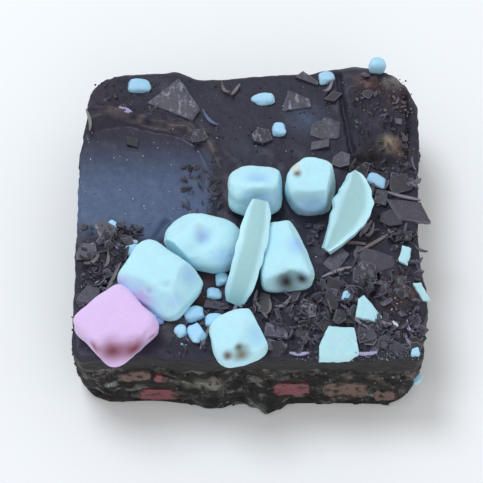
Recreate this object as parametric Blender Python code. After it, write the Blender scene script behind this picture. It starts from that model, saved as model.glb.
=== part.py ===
"""A square of rocky road cut from a tray.

A craggy layer of biscuit, jelly pieces and chocolate lies under a poured layer of
dark chocolate. Marshmallows, shards of white and dark chocolate and small bits of
marshmallow lie on top. Shapes are drawn in millimetres, +Z up, with the middle of
the flat underside at the origin and the front cut face towards -Y, and each mesh is
scaled to metres as it is finished.
"""

import math
import random

import bmesh
import bpy
from mathutils import Matrix, Vector, noise

MILLIMETRE = 0.001

# Driving dimensions of the cut square, in millimetres
SIDE = 80.0
HEIGHT = 22.0
TOP_LAYER = 4.8
GAP = 0.3

HALF = SIDE / 2
SEAM = HEIGHT - TOP_LAYER
SEAM_MARGIN = 3.0
BED_GROWTH = GAP + 0.05

# The camera of the photograph that places are read from: where it stands, its tilt from
# straight down in degrees, and its focal length and the middle of the picture in pixels.
# A place written as a pixel is (across, down) in that picture, read by eye.
EYE = (-2.0, -242.7, 407.1)
TILT = 31.25
FOCAL = 1914.0
MIDDLE = 241.5

# How finely the shapes are divided
CELLS = 28
BAND_LOOPS = 3
MIX_LOOPS = 7
MARSHMALLOW_CUTS = 4
BURIED_CUTS = 2
CURL_RUNS = 12
CURL_STRIPS = 4

# Corner radii in plan: left or right, front or back, at the top and at the underside
CORNERS = {
    (-1, -1): (2.5, 9.0),
    (1, -1): (2.5, 9.0),
    (-1, 1): (10.0, 10.0),
    (1, 1): (14.0, 12.0),
}

# The upper edge of the square, in pixels: the left and right sides from the front to the
# back, the front and the back from left to right
LEFT_EDGE = ((74, 357), (72, 335), (76, 242), (79, 185), (80, 155), (84, 130), (87, 110))
RIGHT_EDGE = ((425, 358), (423, 330), (428, 303), (418, 245), (418, 190), (419, 135))
FRONT_EDGE = ((80, 360), (150, 357), (200, 361), (330, 360), (420, 361))
BACK_EDGE = ((115, 74), (170, 72), (198, 79), (290, 74), (350, 67))

# Lumps and hollows of the top: pixel, reach, rise
SWELLS = (
    ((103, 97), 6.0, 1.2),
    ((172, 80), 6.0, 1.0),
    ((358, 84), 5.5, 2.8),
    ((390, 87), 4.5, 1.8),
    ((382, 114), 6.0, 2.2),
    ((384, 146), 5.0, 2.4),
    ((368, 162), 4.5, -1.8),
    ((395, 294), 5.5, 2.2),
    ((422, 332), 3.0, -1.6),
    ((90, 290), 6.0, 0.6),
    ((335, 285), 9.0, 0.5),
    ((214, 298), 6.0, -0.8),
)

# The smooth pool of poured chocolate and the lip along its far side, in pixels
POOL_MIDDLE = (138, 180)
POOL_REACH = (18.0, 17.0)
POOL_POWER = 3.0
POOL_DEPTH = 1.2
LIP_LINE = ((90, 109), (125, 112), (155, 119), (187, 125), (208, 141), (216, 158))
LIP_REACH = 1.5
LIP_RISE = 1.2

# Bulges low on the front face: pixel, reach, rise
FRONT_BULGES = (((268, 400), 4.5, 2.6), ((213, 399), 4.5, 1.3))

# Marshmallows: name, pixel and height of the middle, half sizes, roundness in plan and
# along the axis, taper, lean towards the front, turn in plan
MARSHMALLOWS = (
    ("marshmallow_1", (256, 191), 25.5, (6.5, 6.0, 4.5), 2.4, 6.0, 0.0, -30.0, -5.0),
    ("marshmallow_2", (312, 188), 26.5, (6.2, 6.0, 6.5), 2.1, 6.5, 0.0, 15.0, 0.0),
    ("marshmallow_3", (203, 243), 25.5, (9.0, 6.5, 5.0), 3.0, 2.8, 0.0, 10.0, -12.0),
    ("marshmallow_4", (160, 281), 25.5, (9.0, 7.0, 5.0), 4.2, 3.4, 0.0, 8.0, -35.0),
    ("marshmallow_pink", (116, 326), 25.5, (7.5, 7.5, 4.5), 6.5, 4.5, 0.0, 5.0, 42.0),
    ("marshmallow_5", (284, 257), 25.5, (7.0, 8.0, 5.0), 4.6, 3.6, 0.5, 6.0, 7.0),
    ("marshmallow_6", (238, 338), 25.0, (6.5, 6.0, 5.5), 3.2, 3.0, 0.1, 8.0, 20.0),
)

# Flat sides of the marshmallows: the direction out, and how far out of the middle
FLATS = {
    "marshmallow_1": (((0.0, -0.9, 0.4), 5.2), ((1.0, 0.0, 0.2), 6.1)),
    "marshmallow_2": (((0.0, -1.0, 0.3), 5.6), ((0.95, -0.25, 0.1), 4.6)),
    "marshmallow_3": (((-0.5, 0.4, 0.8), 6.0), ((-0.7, -0.7, 0.0), 6.3)),
    "marshmallow_4": (((0.6, -0.3, 0.7), 6.4), ((-0.3, -0.7, 0.6), 5.6), ((0.7, 0.7, 0.0), 6.9)),
    "marshmallow_pink": (((0.1, -1.0, 0.3), 6.6), ((0.0, -0.2, 1.0), 4.1)),
    "marshmallow_5": (((0.7, 0.2, 0.7), 5.2), ((0.0, -0.1, 1.0), 4.6)),
    "marshmallow_6": (((0.3, -0.4, 0.9), 4.8), ((-0.3, -0.2, 0.9), 4.6), ((0.9, 0.4, 0.2), 5.4)),
}
FLAT_SOFTNESS = 0.5

# Outlines of broken pieces: corners in half lengths and half widths
OUTLINES = {
    "block": ((-1.0, -0.8), (0.8, -1.0), (1.0, 0.7), (-0.7, 1.0)),
    "wedge": ((-1.0, -1.0), (1.0, -0.4), (0.9, 0.3), (-0.7, 1.0)),
    "kite": ((-1.0, -0.2), (-0.1, -1.0), (1.0, 0.1), (0.2, 1.0)),
    "corner": ((-1.0, -0.9), (0.9, -1.0), (1.0, -0.5), (-0.6, 1.0), (-1.0, 0.6)),
    "fan": ((-1.0, -0.5), (-0.2, -1.0), (0.9, -0.8), (1.0, 0.5), (0.1, 1.0), (-0.8, 0.4)),
    "tile": ((-1.0, -1.0), (0.5, -1.0), (1.0, -0.7), (0.8, 0.9), (-0.5, 1.0), (-1.0, -0.2)),
}

# Broken pieces of white and dark chocolate: outline, pixel of the middle, half length,
# half width, turn in plan, tilt across, tilt along, thickness
WHITE_SHARDS = {
    "white_chocolate_3": ("tile", (339, 342), 4.5, 4.0, 0.0, 6.0, 0.0, 2.5),
    "white_chocolate_4": ("corner", (370, 308), 3.0, 3.0, -10.0, 8.0, 0.0, 2.0),
    "white_chocolate_5": ("block", (405, 255), 2.5, 1.3, 80.0, 0.0, -6.0, 1.5),
    "white_chocolate_6": ("block", (422, 291), 2.8, 1.0, -60.0, 0.0, 12.0, 1.5),
}
DARK_SHARDS = {
    "dark_shard_1": ("kite", (409, 210), 6.0, 3.5, -35.0, 0.0, 5.0, 1.2),
    "dark_shard_2": ("corner", (375, 256), 4.5, 4.2, 25.0, 10.0, 0.0, 1.2),
    "dark_shard_3": ("wedge", (179, 101), 6.0, 5.0, -40.0, 6.0, 0.0, 1.2),
    "dark_shard_4": ("fan", (325, 128), 3.7, 3.2, 0.0, 5.0, 0.0, 1.0),
    "dark_shard_5": ("wedge", (297, 101), 3.5, 3.0, -5.0, 4.0, 0.0, 1.0),
    "dark_shard_6": ("block", (336, 259), 3.5, 2.0, 60.0, 0.0, -5.0, 1.0),
    "dark_shard_7": ("tile", (90, 294), 2.3, 2.2, -10.0, 0.0, 0.0, 1.0),
}
SHARD_STANDS = 0.8

# Long bent shards of white chocolate: pixel and height of the start, middle and end of
# the middle line, half width at the middle and at the ends, thickness, rise of the
# middle above the edges, roll, and how soon the shard reaches its full width
CURLED_SHARDS = {
    "white_chocolate_1": (
        ((259, 205), 30.2), ((249, 255), 29.6), ((236, 300), 22.2), 3.0, 1.2, 1.5, 0.4, -8.0, 4.0,
    ),
    "white_chocolate_2": (
        ((353, 173), 28.5), ((352, 207), 27.5), ((326, 251), 23.8), 4.8, 1.3, 1.5, -0.4, -16.0, 1.5,
    ),
}

# Pieces in the front face: pixel of the middle, half length, half height, depth, turn
FRONT_PIECES = {
    "jelly_1": ((160, 394), 4.5, 2.5, 5.0, 5.0),
    "jelly_2": ((292, 386), 4.0, 2.8, 5.0, 5.0),
    "jelly_3": ((161, 378), 1.5, 1.5, 3.5, 20.0),
    "biscuit_1": ((135, 376), 3.5, 2.0, 5.0, -10.0),
    "biscuit_2": ((345, 387), 5.0, 3.5, 6.0, 5.0),
    "biscuit_3": ((386, 392), 2.8, 2.2, 5.0, -10.0),
}

# Pieces in the sides that the photograph does not show: side, place along it, height of
# the middle, half length, half height, depth, turn
SIDE_PIECES = {
    "jelly_4": ("right", 14.0, 8.0, 4.0, 2.5, 5.0, -10.0),
    "jelly_5": ("left", -14.0, 7.0, 4.0, 2.5, 5.0, 10.0),
    "jelly_6": ("back", -18.0, 10.0, 4.5, 3.0, 5.0, -5.0),
    "biscuit_4": ("right", -14.0, 8.0, 5.5, 3.5, 6.0, 5.0),
    "biscuit_5": ("left", 16.0, 9.0, 6.0, 3.5, 6.0, -5.0),
    "biscuit_6": ("back", 14.0, 8.0, 6.0, 4.0, 6.0, 5.0),
}
BURIED_ROUNDNESS = 4.5
BURIED_PROUD = 0.4
FLAT_ROUND_BURIED = 1.5
POCKET_PAST_FACE = 1.8

SIDE_TURNS = {"front": 0.0, "right": 90.0, "back": 180.0, "left": -90.0}

# A bit of marshmallow stuck low on the right side near the front: place along the side
# and height, half sizes, turn
CORNER_BIT = ((-36.0, 5.0), (1.5, 1.5, 1.2), 30.0)

# Small flakes on the top: outline, pixel, half length, half width, turn in plan
NAMED_FLAKES = (
    ("kite", (132, 142), 2.0, 1.5, -50), ("tile", (199, 136), 2.0, 2.0, 10),
    ("fan", (261, 136), 2.5, 2.5, 20), ("wedge", (308, 79), 3.0, 1.2, -30),
    ("kite", (333, 97), 2.5, 1.5, 20), ("block", (320, 145), 2.5, 1.2, 10),
    ("fan", (341, 160), 2.2, 2.2, 0), ("wedge", (363, 170), 2.5, 1.8, 60),
    ("block", (381, 198), 2.2, 1.6, 85), ("fan", (391, 218), 2.8, 2.5, 0),
    ("tile", (400, 184), 3.0, 2.5, 20), ("block", (404, 236), 2.0, 1.6, 0),
    ("fan", (364, 273), 3.0, 3.0, 10), ("block", (332, 294), 4.5, 1.8, 85),
    ("block", (345, 317), 3.0, 1.6, 0), ("corner", (394, 345), 3.5, 2.5, 0),
    ("tile", (366, 334), 2.2, 2.2, 15), ("block", (276, 331), 3.0, 2.2, 5),
    ("corner", (272, 343), 3.5, 1.8, 5), ("block", (264, 304), 2.8, 1.3, 85),
    ("fan", (306, 311), 2.5, 2.0, 0), ("fan", (107, 231), 3.2, 2.2, -60),
    ("tile", (87, 252), 2.5, 2.2, 0), ("block", (212, 305), 2.0, 1.2, 0),
)

# Torn bits of marshmallow on the top: pixel, half length, half width, turn in plan
MALLOW_BITS = (
    ((139, 86), 3.0, 2.0, 0), ((264, 99), 3.0, 1.5, 0), ((279, 130), 1.7, 1.7, 0),
    ((326, 78), 2.0, 1.6, 20), ((377, 181), 2.6, 1.5, -25),
    ((113, 225), 1.3, 1.0, -40), ((131, 251), 1.8, 1.5, 0), ((150, 315), 2.2, 1.0, -35),
    ((194, 314), 2.5, 1.8, 15), ((214, 320), 2.3, 1.7, 0), ((181, 331), 1.5, 1.5, 0),
    ((196, 333), 2.5, 1.7, -60), ((222, 279), 1.5, 1.5, 0), ((214, 294), 1.8, 1.5, 0),
    ((346, 297), 1.7, 1.0, 70), ((415, 352), 1.0, 1.0, 0),
)
BIT_HEIGHT = 0.8
BIT_LIFT = 0.35

# The bit that stands at the back edge: pixel of its middle, how far that is above the top,
# half sizes
BACK_BIT = ((377, 66), 2.2, (2.2, 1.5, 3.0))

# Where the top is strewn with broken flakes: x from, x to, y from, y to, how many
STREWN = (
    (-38.5, -24.0, -31.0, -3.0, 12),
    (9.0, 37.5, -38.0, -22.0, 12),
    (-17.0, 6.0, -39.0, -24.0, 5),
    (26.0, 38.5, -8.0, 12.0, 4),
    (-34.0, 24.0, 24.0, 37.5, 3),
)
STREWN_HALF_LENGTH = (1.5, 2.6)
STREWN_SLIMNESS = (0.35, 0.75)
STREWN_SPACE = 0.4
TRIES_EACH = 60
FLAKE_DEPTH = 2.4
FLAKE_SHOWS = 0.55
FLAKE_TILT = 12.0
FLAKE_OUTLINES = ("block", "wedge", "kite", "corner")
SEED = 3

# Noise in the shapes: size of its grains in millimetres, and height
TOP_ROUGH = ((4.0, 0.55), (2.1, 0.30))
CRAG_COARSE = (5.0, 0.9)
CRAG_FINE = (2.4, 0.7)
SEAM_WAVE = (9.0, 0.9)
SEAM_WAVE_REACH = 4.0
ON_RIM = 0.01
SETTLING_STEPS = 4

COLOURS = {
    "rocky_layer": ((0.040, 0.032, 0.030), 0.62),
    "chocolate_top": ((0.042, 0.034, 0.036), 0.38),
    "marshmallow": ((0.62, 0.84, 0.90), 0.75),
    "marshmallow_pink": ((0.80, 0.60, 0.84), 0.75),
    "white_chocolate": ((0.52, 0.72, 0.66), 0.45),
    "dark_shard": ((0.050, 0.040, 0.044), 0.42),
    "jelly": ((0.20, 0.050, 0.060), 0.35),
    "biscuit": ((0.24, 0.18, 0.13), 0.85),
}


def ease(t):
    """Rise smoothly from 0 to 1."""
    t = min(1.0, max(0.0, t))
    return t * t * (3.0 - 2.0 * t)


def bell(distance, reach):
    """A soft bump of height 1 that has faded away at 1.6 times its reach."""
    return 1.0 - ease(distance / (1.6 * reach))


def along(points, place):
    """Read a smooth curve through (place, value) points."""
    for (a, start), (b, end) in zip(points, points[1:]):
        if place <= b:
            return start + (end - start) * ease((place - a) / (b - a))
    return points[-1][1]


def to_polyline(x, y, points):
    """Distance from a place to a run of straight pieces."""
    here = Vector((x, y))
    nearest = math.inf
    for a, b in zip(points, points[1:]):
        a = Vector(a)
        step = Vector(b) - a
        share = min(1.0, max(0.0, (here - a).dot(step) / step.length_squared))
        nearest = min(nearest, (here - a - step * share).length)
    return nearest


def sight(pixel):
    """The direction from the camera through a pixel."""
    right = (pixel[0] - MIDDLE) / FOCAL
    up = (MIDDLE - pixel[1]) / FOCAL
    tilt = math.radians(TILT)
    return Vector((right, math.sin(tilt) + up * math.cos(tilt), up * math.sin(tilt) - math.cos(tilt)))


def seen_at(pixel, z):
    """The place at a height that the photograph shows at a pixel."""
    ray = sight(pixel)
    return Vector(EYE) + ray * ((z - EYE[2]) / ray.z)


def seen_on_front(pixel):
    """The place along the front face, and the height, that the photograph shows at a pixel."""
    ray = sight(pixel)
    spot = Vector(EYE) + ray * ((-HALF - EYE[1]) / ray.y)
    return spot.x, spot.z


LUMPS = [(*seen_at(pixel, HEIGHT + max(rise, 0.0)).xy, reach, rise) for pixel, reach, rise in SWELLS]
BULGES = [(*seen_on_front(pixel), reach, rise) for pixel, reach, rise in FRONT_BULGES]
POOL_CENTRE = seen_at(POOL_MIDDLE, HEIGHT - POOL_DEPTH).xy
LIP = [seen_at(pixel, HEIGHT + LIP_RISE).xy for pixel in LIP_LINE]
BURIED = {name: ("front", *seen_on_front(pixel), *sizes) for name, (pixel, *sizes) in FRONT_PIECES.items()}
BURIED.update(SIDE_PIECES)


def in_pool(x, y):
    """1 on the smooth pool, 0 away from it."""
    across = abs(x - POOL_CENTRE[0]) / POOL_REACH[0]
    back = abs(y - POOL_CENTRE[1]) / POOL_REACH[1]
    reach = (across ** POOL_POWER + back ** POOL_POWER) ** (1.0 / POOL_POWER)
    return 1.0 - ease((reach - 0.9) / 0.2)


def top_height(x, y):
    """Height of the poured chocolate's upper face."""
    z = HEIGHT
    for lump_x, lump_y, reach, rise in LUMPS:
        z += rise * bell(math.hypot(x - lump_x, y - lump_y), reach)
    pool = in_pool(x, y)
    z -= POOL_DEPTH * pool
    z += LIP_RISE * bell(to_polyline(x, y, LIP), LIP_REACH)
    calm = max(pool, ease((y - 12.0) / 8.0) * ease((26.0 - abs(x)) / 6.0))
    (coarse, coarse_height), (fine, fine_height) = TOP_ROUGH
    rough = coarse_height * noise.noise(Vector((x, y, 3.0)) / coarse)
    rough += fine_height * noise.noise(Vector((x, y, 9.0)) / fine)
    return z + rough * (1.0 - 0.85 * calm)


def seen_on_top(pixel, above=0.0):
    """The place on the top, or a little above it, that the photograph shows at a pixel."""
    spot = seen_at(pixel, HEIGHT)
    for _ in range(SETTLING_STEPS):
        spot = seen_at(pixel, top_height(spot.x, spot.y) + above)
    return spot


def bends(edge, out, lengthwise):
    """How far a side stands out past the plain square, at places along it."""
    spots = [seen_on_top(pixel) for pixel in edge]
    return [(spot.dot(Vector(lengthwise)), spot.dot(Vector(out)) - HALF) for spot in spots]


LEFT_SIDE = bends(LEFT_EDGE, (-1.0, 0.0, 0.0), (0.0, 1.0, 0.0))
RIGHT_SIDE = bends(RIGHT_EDGE, (1.0, 0.0, 0.0), (0.0, 1.0, 0.0))
FRONT_SIDE = bends(FRONT_EDGE, (0.0, -1.0, 0.0), (1.0, 0.0, 0.0))
BACK_SIDE = bends(BACK_EDGE, (0.0, 1.0, 0.0), (1.0, 0.0, 0.0))


def round_corner(u, v, z):
    """Move a place of the plain square so that the square has its rounded corners."""
    at_top, at_foot = CORNERS[(1 if u > 0 else -1, 1 if v > 0 else -1)]
    radius = at_foot + (at_top - at_foot) * ease(z / HEIGHT)
    over_u = abs(u) - (HALF - radius)
    over_v = abs(v) - (HALF - radius)
    if over_u <= 0 or over_v <= 0:
        return u, v
    shrink = max(over_u, over_v) / math.hypot(over_u, over_v)
    u = math.copysign(HALF - radius + over_u * shrink, u)
    v = math.copysign(HALF - radius + over_v * shrink, v)
    return u, v


def side_place(side, place_along):
    """Where a side lies, out from the middle, at a place along it seen from outside."""
    bends = {"front": FRONT_SIDE, "right": RIGHT_SIDE, "back": BACK_SIDE, "left": LEFT_SIDE}[side]
    mirrored = side in ("back", "left")
    return HALF + along(bends, -place_along if mirrored else place_along)


def near_buried(x, y, z):
    """1 where a buried piece shows in the cut face, 0 away from it."""
    nearest = math.inf
    for side, place_along, height, half_length, half_height, *_ in BURIED.values():
        spot = Matrix.Rotation(math.radians(SIDE_TURNS[side]), 3, "Z") @ Vector((place_along, -HALF, height))
        reach = max(half_length, half_height)
        nearest = min(nearest, (Vector((x, y, z)) - spot).length - reach)
    return 1.0 - ease(nearest / FLAT_ROUND_BURIED)


def crag(x, y, z):
    """How far the broken cut face stands out at a place."""
    coarse = CRAG_COARSE[1] * noise.noise(Vector((x, y, z * 1.3)) / CRAG_COARSE[0])
    fine = CRAG_FINE[1] * noise.noise(Vector((y, x, z * 1.6 + 40.0)) / CRAG_FINE[0])
    depth = 0.35 + 0.75 * ease((SEAM + 1.0 - z) / 3.0)
    return depth * (coarse + fine) * (1.0 - 0.9 * near_buried(x, y, z))


def slab_point(raw):
    """Carry a point of the plain square slab to its place on the real one."""
    u, v, z = raw
    x, y = round_corner(u, v, z)
    share_x = (x + HALF) / SIDE
    share_y = (y + HALF) / SIDE
    left, right = along(LEFT_SIDE, v), along(RIGHT_SIDE, v)
    front, back = along(FRONT_SIDE, u), along(BACK_SIDE, u)
    x += right * share_x - left * (1.0 - share_x)
    y += back * share_y - front * (1.0 - share_y)
    rim = max(abs(u), abs(v)) > HALF - ON_RIM
    if rim and z > ON_RIM:
        out = Vector((x, y)).normalized()
        if abs(u) > HALF - ON_RIM and abs(v) < HALF - 4.0:
            out = Vector((math.copysign(1.0, u), 0.0))
        elif abs(v) > HALF - ON_RIM and abs(u) < HALF - 4.0:
            out = Vector((0.0, math.copysign(1.0, v)))
        step = crag(x, y, z)
        if v < -HALF + ON_RIM:
            for bulge_x, bulge_z, reach, rise in BULGES:
                step += rise * bell(math.hypot(x - bulge_x, z - bulge_z), reach)
        x += out.x * step
        y += out.y * step
    top_share = ease((z - SEAM) / TOP_LAYER) if z > SEAM else 0.0
    z += (top_height(x, y) - HEIGHT) * top_share
    near_seam = max(0.0, 1.0 - abs(z - SEAM) / SEAM_WAVE_REACH)
    if rim:
        z += SEAM_WAVE[1] * near_seam * noise.noise(Vector((x, y, 70.0)) / SEAM_WAVE[0])
    return Vector((x, y, z))


def shape_slab(bm):
    """Give a plain slab its outline, crags and relief."""
    for vert in bm.verts:
        vert.co = slab_point(vert.co)


def loop_below(bm, edges, z, scale=1.0):
    """Pull a new loop of edges out of a loop, at another height and width."""
    made = bmesh.ops.extrude_edge_only(bm, edges=edges)["geom"]
    for vert in (item for item in made if isinstance(item, bmesh.types.BMVert)):
        vert.co = Vector((vert.co.x * scale, vert.co.y * scale, z))
    return [item for item in made if isinstance(item, bmesh.types.BMEdge) and item.is_boundary]


def levels(high, low, count):
    """Evenly spaced heights from one level down to another."""
    return [high + (low - high) * (number + 1) / count for number in range(count)]


def cap(bm, edges):
    """Close a flat loop with one face."""
    bmesh.ops.contextual_create(bm, geom=edges)


def square_loop(bm, z):
    """A loop of equal edges round the plain square."""
    bmesh.ops.create_grid(bm, x_segments=1, y_segments=1, size=HALF)
    bmesh.ops.delete(bm, geom=bm.faces[:], context="FACES_ONLY")
    bmesh.ops.subdivide_edges(bm, edges=bm.edges[:], cuts=CELLS - 1)
    for vert in bm.verts:
        vert.co.z = z
    return bm.edges[:]


def material(name, colour, roughness):
    """One plain finish."""
    made = bpy.data.materials.new(name)
    made.use_nodes = True
    shader = made.node_tree.nodes["Principled BSDF"]
    shader.inputs["Base Color"].default_value = (*colour, 1.0)
    shader.inputs["Roughness"].default_value = roughness
    shader.inputs["Metallic"].default_value = 0.0
    return made


def add_object(name, bm, collection, finish=None, smooth=True):
    """Turn a shape in millimetres into an object in metres."""
    bmesh.ops.recalc_face_normals(bm, faces=bm.faces[:])
    bmesh.ops.scale(bm, vec=(MILLIMETRE,) * 3, verts=bm.verts[:])
    mesh = bpy.data.meshes.new(name)
    bm.to_mesh(mesh)
    bm.free()
    if smooth:
        mesh.shade_smooth()
        mesh.set_sharp_from_angle(angle=math.radians(40))
    made = bpy.data.objects.new(name, mesh)
    if finish:
        colour, roughness = COLOURS[finish]
        mesh.materials.append(material(name, colour, roughness))
    collection.objects.link(made)
    return made


def poured_layer(collection):
    """The smooth dark chocolate over the whole square."""
    bm = bmesh.new()
    bmesh.ops.create_grid(bm, x_segments=CELLS, y_segments=CELLS, size=HALF)
    for vert in bm.verts:
        vert.co.z = HEIGHT
    edges = [edge for edge in bm.edges if edge.is_boundary]
    for z in levels(HEIGHT, SEAM + GAP, BAND_LOOPS):
        edges = loop_below(bm, edges, z)
    edges = loop_below(bm, edges, SEAM + GAP, scale=(HALF - SEAM_MARGIN) / HALF)
    cap(bm, edges)
    shape_slab(bm)
    return add_object("chocolate_top", bm, collection, "chocolate_top")


def craggy_layer(collection):
    """The mix under the poured layer, down to the flat underside."""
    bm = bmesh.new()
    rim = square_loop(bm, SEAM)
    cap(bm, loop_below(bm, rim, SEAM, scale=(HALF - SEAM_MARGIN) / HALF))
    for z in levels(SEAM, 0.0, MIX_LOOPS):
        rim = loop_below(bm, rim, z)
    cap(bm, rim)
    shape_slab(bm)
    return add_object("rocky_layer", bm, collection, "rocky_layer")


def soft_block(half, plan, axis, taper, cuts, seed):
    """A marshmallow: a block rounded by its powers in plan and along its axis."""
    bm = bmesh.new()
    bmesh.ops.create_cube(bm, size=2.0)
    bmesh.ops.subdivide_edges(bm, edges=bm.edges[:], cuts=cuts, use_grid_fill=True)
    shift = Vector((seed * 7.0, seed * 3.0, seed * 5.0))
    for vert in bm.verts:
        x, y, z = vert.co
        round_plan = (abs(x) ** plan + abs(y) ** plan) ** (1.0 / plan)
        length = (round_plan ** axis + abs(z) ** axis) ** (1.0 / axis)
        x, y, z = x / length, y / length, z / length
        narrow = 1.0 - taper * (y + 1.0) / 2.0
        dent = 1.0 + 0.06 * noise.noise(Vector((x, y, z)) * 1.6 + shift)
        vert.co = Vector((x * half[0] * narrow, y * half[1], z * half[2])) * dent
    return bm


def set_down(bm, centre, lean, turn):
    """Lean a shape towards the front, turn it in plan and move it to its place."""
    move = Matrix.Translation(centre) @ Matrix.Rotation(math.radians(lean), 4, "X")
    move = move @ Matrix.Rotation(math.radians(turn), 4, "Z")
    bmesh.ops.transform(bm, matrix=move, verts=bm.verts[:])


def press_flats(bm, centre, flats):
    """Press a marshmallow flat where it lay against something."""
    for direction, distance in flats:
        out = Vector(direction).normalized()
        for vert in bm.verts:
            over = (vert.co - centre).dot(out) - distance
            if over > FLAT_SOFTNESS:
                vert.co -= out * over
            elif over > -FLAT_SOFTNESS:
                vert.co -= out * (over + FLAT_SOFTNESS) ** 2 / (4.0 * FLAT_SOFTNESS)


def marshmallow_shape(row, number):
    """One marshmallow in its place."""
    name, pixel, height, half, plan, axis, taper, lean, turn = row
    bm = soft_block(half, plan, axis, taper, MARSHMALLOW_CUTS, number)
    centre = seen_at(pixel, height)
    set_down(bm, centre, lean, turn)
    press_flats(bm, centre, FLATS[name])
    return bm


def pose(place, turn, tilt_x, tilt_y):
    """Where a piece lies: its place, its turn in plan and its tilts, in degrees."""
    move = Matrix.Translation(place) @ Matrix.Rotation(math.radians(turn), 4, "Z")
    move = move @ Matrix.Rotation(math.radians(tilt_x), 4, "X")
    return move @ Matrix.Rotation(math.radians(tilt_y), 4, "Y")


def plate_shape(outline, place, half_length, half_width, turn, tilt_x, tilt_y, thickness):
    """A broken piece: its upper face, given a thickness downwards."""
    bm = bmesh.new()
    rim = [bm.verts.new((x * half_length, y * half_width, 0.0)) for x, y in OUTLINES[outline]]
    face = bm.faces.new(rim)
    made = bmesh.ops.extrude_face_region(bm, geom=[face], use_keep_orig=True)["geom"]
    lower = [item for item in made if isinstance(item, bmesh.types.BMVert)]
    bmesh.ops.translate(bm, vec=(0.0, 0.0, -thickness), verts=lower)
    bmesh.ops.transform(bm, matrix=pose(place, turn, tilt_x, tilt_y), verts=bm.verts[:])
    bmesh.ops.triangulate(bm, faces=bm.faces[:])
    bmesh.ops.recalc_face_normals(bm, faces=bm.faces[:])
    return bm


def shard_shape(outline, pixel, half_length, half_width, turn, tilt_x, tilt_y, thickness):
    """A large broken piece that lies on the top, a little sunk in it."""
    place = seen_on_top(pixel, SHARD_STANDS * thickness)
    return plate_shape(outline, place, half_length, half_width, turn, tilt_x, tilt_y, thickness)


def bent_line(start, middle, end, share):
    """A place on the curve through three points, and the direction of the curve there."""
    start, middle, end = seen_at(*start), seen_at(*middle), seen_at(*end)
    pull = middle * 2.0 - (start + end) / 2.0
    spot = start * (1.0 - share) ** 2 + pull * (2.0 * share * (1.0 - share)) + end * share ** 2
    lead = (pull - start) * (1.0 - share) + (end - pull) * share
    return spot, lead.normalized()


def curl_width(share, half_width, end_width, fullness):
    """Half width of a long shard at a share of its length."""
    return end_width + (half_width - end_width) * (1.0 - abs(2.0 * share - 1.0) ** fullness)


def curled_shape(start, middle, end, half_width, end_width, thickness, rise, roll, fullness):
    """A long bent shard along its middle line."""
    bm = bmesh.new()
    bmesh.ops.create_grid(bm, x_segments=CURL_RUNS, y_segments=CURL_STRIPS, size=0.5)
    for vert in bm.verts:
        share = vert.co.x + 0.5
        offset = vert.co.y * 2.0
        spot, lead = bent_line(start, middle, end, share)
        side = lead.cross(Vector((0.0, 0.0, 1.0))).normalized()
        up = side.cross(lead)
        turn = Matrix.Rotation(math.radians(roll), 3, lead)
        width = curl_width(share, half_width, end_width, fullness)
        vert.co = spot + turn @ (side * offset * width + up * rise * (1.0 - offset * offset))
    bmesh.ops.recalc_face_normals(bm, faces=bm.faces[:])
    bmesh.ops.solidify(bm, geom=bm.faces[:], thickness=thickness)
    bmesh.ops.recalc_face_normals(bm, faces=bm.faces[:])
    return bm


def buried_shape(row, seed, past_face=0.0):
    """A piece of jelly or biscuit that the knife has cut, in its side of the square."""
    side, place_along, height, half_length, half_height, depth, turn = row
    half = (half_length, depth, half_height)
    bm = soft_block(half, BURIED_ROUNDNESS, BURIED_ROUNDNESS, 0.0, BURIED_CUTS, seed)
    everything = bm.verts[:] + bm.edges[:] + bm.faces[:]
    bmesh.ops.bisect_plane(
        bm, geom=everything, plane_co=(0, -past_face, 0), plane_no=(0, -1, 0), clear_outer=True,
    )
    cap(bm, [edge for edge in bm.edges if edge.is_boundary])
    face = side_place(side, place_along) + BURIED_PROUD
    move = Matrix.Rotation(math.radians(SIDE_TURNS[side]), 4, "Z")
    move = move @ Matrix.Translation((place_along, -face, height))
    move = move @ Matrix.Rotation(math.radians(turn), 4, "Y")
    bmesh.ops.transform(bm, matrix=move, verts=bm.verts[:])
    return bm


def swollen(bm, reach):
    """The same shape grown all round, to cut the space that the piece lies in."""
    bmesh.ops.recalc_face_normals(bm, faces=bm.faces[:])
    bm.normal_update()
    steps = [(vert, vert.normal * reach * vert.calc_shell_factor()) for vert in bm.verts]
    for vert, step in steps:
        vert.co += step
    return bm


def clear_of(x, y, taken, margin):
    """True if a place is clear of every piece's footprint."""
    return all(math.hypot(x - a, y - b) > reach + margin for a, b, reach in taken)


def flake_shape(outline, place, half_length, half_width, turn, draw):
    """A small broken flake that lies half sunk in the chocolate."""
    tilts = (draw.uniform(-FLAKE_TILT, FLAKE_TILT), draw.uniform(-FLAKE_TILT, FLAKE_TILT))
    return plate_shape(outline, place, half_length, half_width, turn, *tilts, FLAKE_DEPTH)


def bit_shape(place, half, turn, draw):
    """A small torn bit of marshmallow."""
    bm = bmesh.new()
    bmesh.ops.create_icosphere(bm, subdivisions=1, radius=1.0)
    for vert in bm.verts:
        vert.co *= draw.uniform(0.88, 1.1)
    move = pose(place, turn, 0.0, 0.0) @ Matrix.Diagonal((*half, 1.0))
    bmesh.ops.transform(bm, matrix=move, verts=bm.verts[:])
    return bm


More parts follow.
